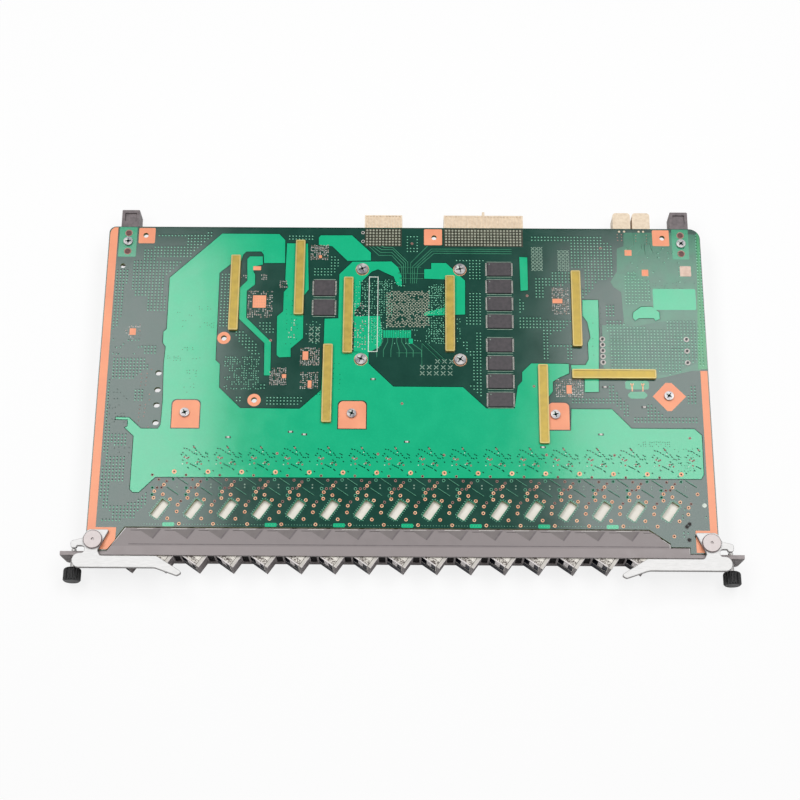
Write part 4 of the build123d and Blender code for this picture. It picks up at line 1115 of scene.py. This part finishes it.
class LINECARD_OT_board(bpy.types.Operator):
    """Paints the bare board and lays the copper areas that show through its mask"""
    bl_idname = "line_card.board"
    bl_label = "Board and copper areas"

    def execute(self, context):
        rise = context.scene.line_card_sizes.land_height / MM
        dress("board", "circuit_board")
        rimmed = (MAIN_POUR, LEFT_BRANCH, MIDDLE_BRANCH, TOP_POUR, SCREW_POUR, SLIM_POUR,
                  STRIP_POUR, RIGHT_ARCH)
        for n, outline in enumerate(rimmed):
            level = 1.1 if outline is RIGHT_ARCH else 0.5
            flat_plate(f"copper_rim_{n + 1}", [grown(outline, 0.35)], PLATE_SEAT, rise * level, "speck")
        right_hole = round_outline(*CLAMP_HOLES[2], CLAMP_RADIUS, 16)
        areas = (
            ("wide_copper_area", [MAIN_POUR], 1, "pour"),
            ("left_copper_branch", [LEFT_BRANCH], 1.2, "pour"),
            ("middle_copper_branch", [MIDDLE_BRANCH], 1.2, "pour"),
            ("small_copper_areas", [TOP_POUR, ARRAY_POUR, SCREW_POUR, SLIM_POUR, STRIP_POUR], 1, "pour"),
            ("right_copper_field", [RIGHT_FIELD, right_hole], 0.8, "mid"),
            ("right_copper_shade", [RIGHT_SHADE], 0.95, "dim"),
            ("right_copper_step", [rectangle(*RIGHT_RECTANGLE, 0.6)], 1.3, "pour"),
            ("right_copper_arch", [RIGHT_ARCH], 1.5, "pour"),
            ("right_copper_edge", [RIGHT_EDGE], 1.1, "edge_pour"),
            ("guide_lands", [rectangle(*pad, 0.4) for pad in GUIDE_LANDS], 1.4, "mid_bright"))
        for name, outlines, level, finish in areas:
            flat_plate(name, outlines, PLATE_SEAT, rise * level, finish)
        tabs = []
        for i in (0, 3, 5, 7, 9, 11, 13):
            x, d = window_spot(i)
            tabs.append(rectangle(x + 2.1, d + 8.3, x + 9.1, min(d + 10.7, 194.2), 0.5))
        flat_plate("front_edge_tabs", tabs, PLATE_SEAT, rise, "pour")
        return {"FINISHED"}


class LINECARD_OT_copper(bpy.types.Operator):
    """Lays the bare gilded strips, clamp pads, corner pads and ring pads"""
    bl_idname = "line_card.copper"
    bl_label = "Bare copper"

    def execute(self, context):
        low, high = PLATE_SEAT, PAD_RISE
        strips = [LEFT_STRIP, RIGHT_STRIP] + [rectangle(*pad, 0.5) for pad in CLAMP_PADS]
        strips += [round_outline(x, d, CLAMP_RADIUS, 20) for x, d in CLAMP_HOLES]
        flat_plate("edge_strips", strips, low, high, "copper")
        pads = [rounded_tab(*pad) for pad in TAB_PADS] + [DIAMOND]
        flat_plate("tab_pads", pads, low, high, "copper")
        rims = [rounded_tab(x0 - 0.55, d0 - 0.55, x1 + 0.55, d1 + 0.55) for x0, d0, x1, d1 in TAB_PADS]
        flat_plate("tab_pad_rims", rims, PLATE_SEAT, 0.06, "dark")
        outlines = []
        for x, d in RING_HOLES:
            outlines += [round_outline(x, d, 4.0, 24), round_outline(x, d, 1.75, 24)]
        flat_plate("ring_hole_pads", outlines, low, high, "copper")
        flat_plate("small_thermal_pads", [rectangle(*pad, 0.2) for pad in SMALL_PADS], low, 0.09, "copper")
        flat_plate("pale_pad", [rectangle(*pad, 0.3) for pad in PALE_PADS], low, 0.09, "pale_tin")
        flat_plate("pill_land",
                   [rectangle(134.6, 108.7, 146.0, 113.0, 1.6),
                    rectangle(133.2, 101.6, 147.4, 107.2, 1.0)], low, 0.05, "mid_bright")
        tracks([[(136.4, 103.4), (137.2, 105.0), (137.2, 108.4)], [(138.0, 103.4), (137.2, 105.0)],
                [(142.9, 103.4), (143.6, 105.0), (143.6, 108.4)], [(144.4, 103.4), (143.6, 105.0)]],
               0.75, low, 0.08, "orange_forks", "gold_ring", True)
        x0, d0, x1, d1 = SMALL_PADS[-1]
        rows = grid_in(rectangle(x0 + 0.3, d0 + 0.3, x1 - 0.3, d1 - 0.3), 1.05)
        copies("thermal_pad_pits", land("ceramic", 0.22, 0.05, 0.12), [place for row in rows for place in row])
        return {"FINISHED"}


def rounded_tab(x0, d0, x1, d1, radius=3.0):
    """A pad with its two rear corners rounded."""
    turn = [radians(15 * i) for i in range(7)]
    left = [(x0 + radius - radius * cos(a), d0 + radius - radius * sin(a)) for a in turn]
    right = [(x1 - radius + radius * sin(a), d0 + radius - radius * cos(a)) for a in turn]
    return left + right + [(x1, d1), (x0, d1)]


class LINECARD_OT_vias(bpy.types.Operator):
    """Lays the even fields of small vias and the looser patches of them"""
    bl_idname = "line_card.vias"
    bl_label = "Via fields"

    def execute(self, context):
        sizes = context.scene.line_card_sizes
        radius, pitch = sizes.via_size / MM / 2, sizes.via_pitch / MM
        fields("via_fields", via_land(radius), VIA_FIELDS, pitch)
        dice = random.Random(sizes.seed)
        places = [place for box in DOT_PATCHES for place in patch(*box, dice)]
        copies("loose_vias", via_land(0.42), places)
        places = [place for box in SPECK_PATCHES for place in patch(*box, dice)]
        copies("pinholes", land("speck", 0.36, LAND_SEAT, 0.1, 5), places)
        edge = [(-150.0 + 1.65 * i, 192.9) for i in range(178)]
        copies("front_row", land("dots", 0.3, LAND_SEAT, 0.09, 4), edge)
        copies("rear_row", block("speck", 0.42, 0.7, LAND_SEAT, 0.06),
               [(-152.0 + 1.05 * i, 0.55) for i in range(290) if not -25 < -152.0 + 1.05 * i < 24.5])
        return {"FINISHED"}


class LINECARD_OT_tracks(bpy.types.Operator):
    """Lays the fine tracks, the ink outlines and the crossed test lattices"""
    bl_idname = "line_card.tracks"
    bl_label = "Tracks and ink"

    def execute(self, context):
        lines = list(CONNECTOR_TRACKS)
        for start, end in zip(FAN_STARTS, FAN_ENDS):
            lines.append([(start, 74), (start, 77), (end, 82.5), (end, 87)])
        tracks(lines, 0.4, LAND_SEAT, 0.06, "connector_tracks", "track", True)
        tracks(CROSSING_TRACKS, 0.3, LAND_SEAT, 0.07, "crossing_tracks", "track", True)
        # Painted shadow: a dark copy of each track, moved a little aside
        tracks([[(x + 0.3, d - 0.33) for x, d in line] for line in CROSSING_TRACKS + CONNECTOR_TRACKS],
               0.24, LAND_SEAT, 0.05, "track_shadows", "speck", True)
        comb = [rectangle(-12.2 + 1.42 * i, 69.4, -11.0 + 1.42 * i, 74.4, 0.1) for i in range(12)]
        flat_plate("comb", comb + [rectangle(3.2, 74.8, 5.8, 78.2, 0.4)], LAND_SEAT, 0.07, "pour")
        tracks(port_lines(0, 0), 0.24, LAND_SEAT, 0.06, "port_tracks", "ring_green")
        # Painted shadow: a dark copy of each port's tracks, moved a little aside
        tracks(port_lines(-0.2, 0.32), 0.3, LAND_SEAT, 0.055, "port_track_shadows", "speck")
        crosses = []
        for x0, d0, x1, d1, step in X_LATTICES:
            across, down, arm = round((x1 - x0) / step), round((d1 - d0) / step), min(0.4 * step, 1.3)
            for i in range(across):
                for j in range(down):
                    x, d = x0 + (i + 0.5) * (x1 - x0) / across, d0 + (j + 0.5) * (d1 - d0) / down
                    crosses += [[(x - arm, d + tilt * arm), (x + arm, d - tilt * arm)] for tilt in (-1, 1)]
        tracks(crosses, 0.42, LAND_SEAT, 0.08, "test_lattices", "silk_dim", True)
        x0, d0, x1, d1, width = -21.4, 33.6, -15.6, 83.7, 0.45
        inner = rectangle(x0 + width, d0 + width, x1 - width, d1 - width)
        flat_plate("ink_frame", [rectangle(x0, d0, x1, d1), inner], LAND_SEAT, 0.1, "silk")
        dashes = []
        for x, depths, long_side, wide in ((MEMORY_X, MEMORY_DEPTHS, 7.75, 5.1),
                                           (FLASH_X, FLASH_DEPTHS, 6.8, 5.8)):
            for d in depths:
                for side in (-1, 1):
                    dashes += [rectangle(x - long_side, d + side * wide - 0.16, x + long_side,
                                         d + side * wide + 0.16)]
        flat_plate("chip_ink", dashes, LAND_SEAT, 0.09, "silk_dim")
        return {"FINISHED"}


class LINECARD_OT_small_parts(bpy.types.Operator):
    """Solders the small parts, chip leads and pins on the board"""
    bl_idname = "line_card.small_parts"
    bl_label = "Small parts and solder"

    def execute(self, context):
        dice = random.Random(context.scene.line_card_sizes.seed + 1)
        kinds = {"tan": [], "black": [], "pads": [], "dots": []}
        for box in PART_PATCHES:
            for place in patch(*box, dice):
                if any(x0 - 0.3 < place[0] < x1 + 0.3 and d0 - 0.3 < place[1] < d1 + 0.3
                       for x0, d0, x1, d1 in SMALL_PADS):
                    continue
                kinds[dice.choice(("tan", "black", "pads", "pads", "dots"))].append(place)
        copies("tan_parts", chip_part("ceramic", "solder", 1.0, 0.55, 0.4), kinds["tan"])
        copies("black_parts", chip_part("chip_dark", "solder", 1.1, 0.6, 0.35),
               kinds["black"])
        copies("solder_lands", block("solder", 0.85, 0.5, LAND_SEAT, 0.09), kinds["pads"])
        copies("patch_vias", land("red_ring", 0.3, LAND_SEAT, 0.1, 5), kinds["dots"])
        rows = grid_in(rectangle(-12.0, 44.0, 15.5, 68.6), 2.03)
        rows += grid_in(rectangle(-9.5, 43.5, 15.8, 67.5), 2.03, 1.0)
        ball_lands = [(x + dice.uniform(-0.2, 0.2), d + dice.uniform(-0.12, 0.12),
                       dice.choice((0, 0, 0, 0, 90))) for row in rows for x, d in row
                      if dice.random() < 0.9]
        copies("processor_lands", block("pin_solder", 1.35, 0.55, LAND_SEAT, 0.09), ball_lands)

        leads = []
        for x, depths, reach, step in ((MEMORY_X, MEMORY_DEPTHS, 7.9, 0.78),
                                       (FLASH_X, FLASH_DEPTHS, 6.9, 0.9)):
            leads += [(x + side * reach, d + (i - 5) * step) for d in depths for side in (-1, 1)
                      for i in range(11)]
        copies("chip_leads", block("solder", 1.1, 0.42, LAND_SEAT, 0.22), leads)

        pins = [(-23.0 + 2.0 * i, 1.9 + 1.95 * j) for i in range(11) for j in range(6)]
        pins += [(26.0 + 2.0 * i, 1.9 + 1.95 * j) for i in range(24) for j in range(6)]
        copies("connector_pins", ring_pad(("pin_solder", "hole"), 0.66, 0.2, LAND_SEAT, 0.16, 6),
               pins)
        flat_plate("pin_fields",
                   [rectangle(-24.4, 0.7, -1.6, 12.8), rectangle(24.6, 0.7, 73.6, 12.8)], PLATE_SEAT,
                   0.04, "pin_field")
        posts = [(120.5, 74.6 + 3.81 * i) for i in range(5)] + [(171.3, 74.6 + 7.62 * i) for i in range(3)]
        copies("converter_solder", ring_pad(("solder", "hole"), 1.65, 0.8, LAND_SEAT, 0.3, 12, 0.1),
               posts)
        copies("plated_rings", ring_pad(("solder", "speck"), 1.05, 0.7, LAND_SEAT, 0.1, 10),
               [(-25.6, 3.5), (-25.5, 9.5)])
        copies("open_rings", ring_pad(("red_ring", "hole"), 0.85, 0.35, LAND_SEAT, 0.1, 8),
               OPEN_RINGS)
        copies("red_pins", land("red_ring", 0.42, LAND_SEAT, 0.12, 6), RED_COLUMNS)
        copies("guide_pegs", ring_pad(("red_ring", "peg"), 2.3, 1.75, LAND_SEAT, 0.12, 16),
               [(side * 171.2, d) for side in (-1, 1) for d in (4.5, 17.0)])
        copies("pin_one_marks", land("silk_dim", 0.45, 1.0, 1.13, 8),
               [(MEMORY_X - 5.9, d - 3.2) for d in MEMORY_DEPTHS])
        copies("corner_holes", ring_pad(("dark", "hole"), 1.5, 1.1, LAND_SEAT, 0.1, 14),
               [(165.4, 192.6), (166.9, 191.0), (166.3, 200.5)])
        copies("fiducial.001", land("silk", 1.5, LAND_SEAT, 0.09, 12), [(176.3, 179.6)])
        copies("port_earth_dots", via_land(0.4),
               [(163.2, 186.0), (163.3, 188.0), (164.5, 182.4), (166.2, 184.6), (163.3, 196.4),
                (163.4, 198.6), (165.7, 196.6), (176.8, 187.0)])
        copies("connector_pegs", land("cream", 0.8, -0.4, 0.12, 12),
               [(133.5, 1.9), (136.6, 1.9), (145.6, 1.9), (148.4, 1.9)])
        half = HEAT_SCREW_SPAN / 2
        heads = [(HEAT_SINK_X + s * half, HEAT_SINK_DEPTH + t * half) for s in (-1, 1) for t in (-1, 1)]
        copies("heat_screw_collars", ring_pad(("gold_ring", "dark"), 4.1, 3.7, LAND_SEAT, 0.1, 24),
               heads)
        for name, places, height, reach in (("heat_screw", heads, 1.6, 2.5),
                                            ("board_screw", BOARD_SCREWS, 1.5, 2.0)):
            turned = [(x, d, 25 + 40 * i) for i, (x, d) in enumerate(places)]
            # Painted shade: a dark cross on each head and a dark land deep in its socket; the glints are
            # painted highlights in the white ink finish
            copies(f"{name}_slots", block("speck", 2 * reach, 0.55, height - 0.05, height + 0.03),
                   turned + [(x, d, turn + 90) for x, d, turn in turned])
            copies(f"{name}_sockets", land("speck", 0.8, height - 0.78, height - 0.72, 6), places)
            copies(f"{name}_glints", block("silk", reach * 0.7, reach * 0.5, height - 0.05,
                                           height + 0.02, 0.02),
                   [(x - 0.45 * reach, d - 0.5 * reach, turn) for x, d, turn in turned])
        marks = [(83.0, 144.2), (117.5, 136.0), (2.5, 141.3), (-66.5, 135.4), (-58.3, 137.0), (-103.5, 139.0),
                 (-18.0, 101.5), (121.0, 105.8), (144.0, 118.5)]
        copies("lone_parts", chip_part("solder", "chip_dark", 3.4, 1.1, 0.4), marks)
        return {"FINISHED"}


class LINECARD_OT_port_marks(bpy.types.Operator):
    """Lays the rings, pinholes and ink that repeat round each port's window"""
    bl_idname = "line_card.port_marks"
    bl_label = "Marks at the ports"

    def execute(self, context):
        gold, hole = "gold_ring", "hole"
        copies("port_rings", ring_pad((gold, hole), 1.07, 0.56, LAND_SEAT, 0.12),
               at_ports(PORT_RINGS, range(PORTS - 1)) + at_ports(PORT_RINGS[:-1] + [(1.3, 15.0)], [PORTS - 1])
               + [(172.6, 172.8)])
        copies("port_large_rings", ring_pad((gold, hole), 1.4, 0.55, LAND_SEAT, 0.13, 12),
               at_ports(PORT_BIG_RINGS))
        copies("port_dim_rings", ring_pad(("red_ring", "speck"), 0.85, 0.52, LAND_SEAT, 0.11, 8),
               at_ports(PORT_DIM_RINGS))
        copies("port_green_rings", ring_pad(("ring_green", "speck"), 1.0, 0.66, LAND_SEAT, 0.11, 8),
               at_ports(PORT_GREEN_RINGS))
        copies("port_dots", land("silk_dim", 0.55, LAND_SEAT, 0.1), at_ports(PORT_DOTS))
        copies("port_pinholes", block("speck", 1.1, 0.6, LAND_SEAT, 0.1),
               on_pour(at_ports(PORT_SPECKS, range(1, PORTS + 1), -38)))
        copies("port_pink_lands", ring_pad(("red_ring", "speck"), 0.62, 0.3, LAND_SEAT, 0.11, 6),
               on_pour(at_ports(PORT_PINK, range(1, PORTS + 1))))
        copies("port_white_lands", land("silk", 0.42, LAND_SEAT, 0.12, 6),
               on_pour(at_ports(PORT_WHITE, range(1, PORTS + 1))))
        half_long, half_wide = 5.85, 2.6
        ticks, frames = [], []
        for i in range(PORTS):
            for n in range(9):
                for side in (-1, 1):
                    ticks.append((*port_place(i, WINDOW_ACROSS + side * (half_wide + 0.85),
                                              WINDOW_ALONG - half_long + 0.4 + 1.36 * n), 55))
            for n in range(4):
                for side in (-1, 1):
                    ticks.append((*port_place(i, WINDOW_ACROSS - half_wide + 0.6 + 1.3 * n,
                                              WINDOW_ALONG + side * (half_long + 0.85)), -35))
            for grow in (0.38, 0.02):
                frames.append([port_place(i, WINDOW_ACROSS + a * (half_wide + grow),
                                          WINDOW_ALONG + b * (half_long + grow)) for a,
                               b in ((-1, -1), (1, -1), (1, 1), (-1, 1))])
        copies("window_ticks", block("dots", 0.34, 0.62, LAND_SEAT, 0.1), ticks)
        flat_plate("window_frames", frames, LAND_SEAT, 0.06, "track")
        return {"FINISHED"}


class LINECARD_OT_ports(bpy.types.Operator):
    """Dresses the optical cages and adds what shows in and round their mouths"""
    bl_idname = "line_card.ports"
    bl_label = "Optical cages"

    def execute(self, context):
        dress("steel", *[f"sfp_cage_{i + 1:02d}" for i in range(PORTS)])
        under = (BOTTOM - TOP) / MM
        floor = under - CAGE_HEIGHT
        across, along = -PORT_SLANT, 90 - PORT_SLANT
        # The pale strips along the fins' edges and over their caps are painted highlight
        trims = (
            ("latch_tongues", "tongue", 3.2, 0.4, floor + 0.6, floor + 9.25, 0.1, 1.9, 0.45, across),
            ("latch_shades", "navy", 2.6, 0.3, floor + 0.6, floor + 9.25, 0.05, 5.1, 0.5, across),
            ("sill_shades", "navy", 13.6, 0.05, floor - 6.3, floor - 0.35, 0.01, -0.1, -0.03, across),
            ("fin_edge_highlights", "fin_cap", 10.0, 0.8, under - 0.02, under + 0.05, 0.01, 7.7, 5.15, along),
            ("fin_caps", "fin_cap", 8.4, 1.9, under - 0.35, under + 0.06, 0.05, 8.25, 4.35, along),
            ("fin_ridges", "tongue", 8.4, 0.3, under - 0.45, under + 0.12, 0.05, 9.15, 4.35, along),
            ("mouth_lips", "tongue", 13.8, 0.75, under - 0.02, under + 0.07, 0.01, 0.0, 0.4, across))
        for name, finish, length, width, low, high, bevel, right, back, turn in trims:
            copies(name, block(finish, length, width, low, high, bevel),
                   [(*port_place(i, right, back), turn) for i in range(PORTS)])
        copies("light_windows", block("smoke", 3.7, 1.2, -15.95, -3.85, 0.1),
               [(-150.45 + PORT_PITCH * i, 209.7) for i in range(PORTS)])
        return {"FINISHED"}


class LINECARD_OT_panel(bpy.types.Operator):
    """Paints the front panel casting, and lays painted shade along the step of its front band and in its
    pockets, and a painted highlight along the pockets' rear edges
    """
    bl_idname = "line_card.panel"
    bl_label = "Front panel"

    def execute(self, context):
        dress("panel", "front_panel")
        tips = [FIRST_PORT_X + PORT_PITCH * i for i in range(PORTS - 1)]
        # Painted shade: a dark line along the step of the front band
        flat_plate("band_step_shade", [rectangle(-158.5, 204.35, 154.6, 204.85)], -1.05, -0.96, "panel_line")
        flat_plate("pocket_liners",
                   [[(x - 0.3, 196.4), (x + 12.0, 196.4), (x + 7.86, 202.7)] for x in tips + [139.9]],
                   -1.4, -0.985, "panel")
        flat_plate("pocket_shades", [[(x + 4.6, 195.5), (x + 18.0, 195.5), (x + 13.6, 201.4)] for x in tips],
                   -1.05, -0.965, "panel_shade")
        # Painted shade: a darker wedge along the right edge of each pocket
        flat_plate("pocket_corner_shades",
                   [[(x + 18.0, 195.5), (x + 13.6, 201.4), (x + 12.9, 200.9), (x + 16.7, 195.5)]
                    for x in tips], -1.05, -0.95, "panel_line")
        # Painted highlight: a pale thin line along the rear edge of each pocket
        flat_plate("pocket_edge_highlights", [rectangle(x + 4.0, 195.15, x + 13.4, 195.5) for x in tips],
                   -1.05, -0.95, "panel_bright")
        return {"FINISHED"}


class LINECARD_OT_handles(bpy.types.Operator):
    """Finishes the ejector levers, their pivots and the thumbscrews"""
    bl_idname = "line_card.handles"
    bl_label = "Levers and thumbscrews"

    def execute(self, context):
        for side in ("left", "right"):
            dress("lever", f"{side}_ejector_lever")
            dress("pivot", f"{side}_lever_pivot")
            dress("knob", f"{side}_thumbscrew_knob")
            dress("shank", f"{side}_thumbscrew_shank", f"{side}_screw_clip")
        return {"FINISHED"}


class LINECARD_OT_connectors(bpy.types.Operator):
    """Finishes the backplane connectors, the power connectors and the guide sockets"""
    bl_idname = "line_card.connectors"
    bl_label = "Backplane side"

    def execute(self, context):
        dress("guide", "left_guide_socket", "right_guide_socket")
        dress("cream", "small_backplane_connector", "large_backplane_connector",
              "inner_power_connector", "outer_power_connector")
        return {"FINISHED"}


class LINECARD_OT_parts(bpy.types.Operator):
    """Finishes the bars, chips, screws, stiffener and the parts under the board"""
    bl_idname = "line_card.parts"
    bl_label = "Bars, chips and hardware"

    def execute(self, context):
        dress("ochre", *[f"spacer_bar_{i}" for i in range(1, 9)])
        dress("chip", *[f"memory_chip_{i}" for i in range(1, 9)], "flash_chip_1", "flash_chip_2")
        dress("package", "processor_package")
        dress("sink", "heat_sink")
        dress("screw", "heat_sink_screws", "board_screws")
        dress("converter", "power_converter")
        dress("aluminium", "board_stiffener", "board_standoff")
        return {"FINISHED"}


class LINECARD_OT_underside(bpy.types.Operator):
    """Lays copper areas, vias and parts on the board's lower face"""
    bl_idname = "line_card.underside"
    bl_label = "Lower face"

    def execute(self, context):
        dice = random.Random(context.scene.line_card_sizes.seed + 2)
        face = (BOTTOM - TOP) / MM
        flat_plate("lower_copper_area", [MAIN_POUR], face - 0.05, face + 0.02, "pour")
        flat_plate("lower_right_field", [RIGHT_FIELD, round_outline(*CLAMP_HOLES[2], 1.8, 16)],
                   face - 0.04, face + 0.02, "mid")
        flat_plate("lower_left_branch", [LEFT_BRANCH, SCREW_POUR, STRIP_POUR], face - 0.06,
                   face + 0.02, "pour")
        places = [place for box in UNDER_PATCHES for place in patch(*box, dice)]
        copies("lower_black_parts", chip_part("chip_dark", "solder", 1.6, 0.8, 0.5),
               places[::2])
        lower = bpy.data.objects["lower_black_parts"]
        copies("lower_tan_parts", chip_part("ceramic", "solder", 1.6, 0.8, 0.7), places[1::2])
        for piece, drop in ((lower, face - 0.48), (bpy.data.objects["lower_tan_parts"], face - 0.68)):
            pick(piece)
            bpy.ops.transform.translate(value=(0, 0, drop * MM))
            settle(piece)
        copies("lower_packages", block("ic", 9.0, 9.0, face - 1.25, face - 0.1, 0.2), UNDER_PACKAGES)
        leads = [(x + side * 5.0, d - 3.6 + 0.8 * i) for x, d in UNDER_PACKAGES for side in (-1, 1)
                 for i in range(10)]
        copies("lower_leads", block("solder", 1.2, 0.36, face - 0.5, face + 0.02), leads)
        copies("lower_inductors", block("converter", 7.0, 7.0, face - 3.4, face, 0.7),
               UNDER_INDUCTORS)
        copies("lower_vias", land("dots", 0.42, face - 0.08, face + 0.03, 5, 1.0),
               [(x, d) for outline in UNDER_FIELDS for row in grid_in(outline, 2.03) for x, d in row])
        return {"FINISHED"}


class LINECARD_PT_sidebar(bpy.types.Panel):
    """Lists the steps that dress the card"""
    bl_idname = "LINECARD_PT_sidebar"
    bl_label = "Line card"
    bl_space_type = "VIEW_3D"
    bl_region_type = "UI"
    bl_category = "Line card"

    def draw(self, context):
        for group in (context.scene.line_card_finish, context.scene.line_card_sizes,
                      context.scene.line_card_stage):
            for name in group.__annotations__:
                self.layout.prop(group, name)
        for step in STEPS:
            self.layout.operator(step.bl_idname)


GROUPS = (LineCardFinish, LineCardSizes, LineCardStage)
STEPS = (LINECARD_OT_stage, LINECARD_OT_board, LINECARD_OT_copper, LINECARD_OT_vias, LINECARD_OT_tracks,
         LINECARD_OT_small_parts, LINECARD_OT_port_marks, LINECARD_OT_ports, LINECARD_OT_panel,
         LINECARD_OT_handles, LINECARD_OT_connectors, LINECARD_OT_parts, LINECARD_OT_underside)


def register():
    for item in GROUPS + STEPS + (LINECARD_PT_sidebar,):
        bpy.utils.register_class(item)
    bpy.types.Scene.line_card_finish = PointerProperty(type=LineCardFinish)
    bpy.types.Scene.line_card_sizes = PointerProperty(type=LineCardSizes)
    bpy.types.Scene.line_card_stage = PointerProperty(type=LineCardStage)


def unregister():
    del bpy.types.Scene.line_card_stage
    del bpy.types.Scene.line_card_sizes
    del bpy.types.Scene.line_card_finish
    for item in reversed(GROUPS + STEPS + (LINECARD_PT_sidebar,)):
        bpy.utils.unregister_class(item)


def main():
    register()
    make_finishes()
    for step in STEPS:
        group, name = step.bl_idname.split(".")
        getattr(getattr(bpy.ops, group), name)()
    clear_selection()


if __name__ == "__main__":
    main()
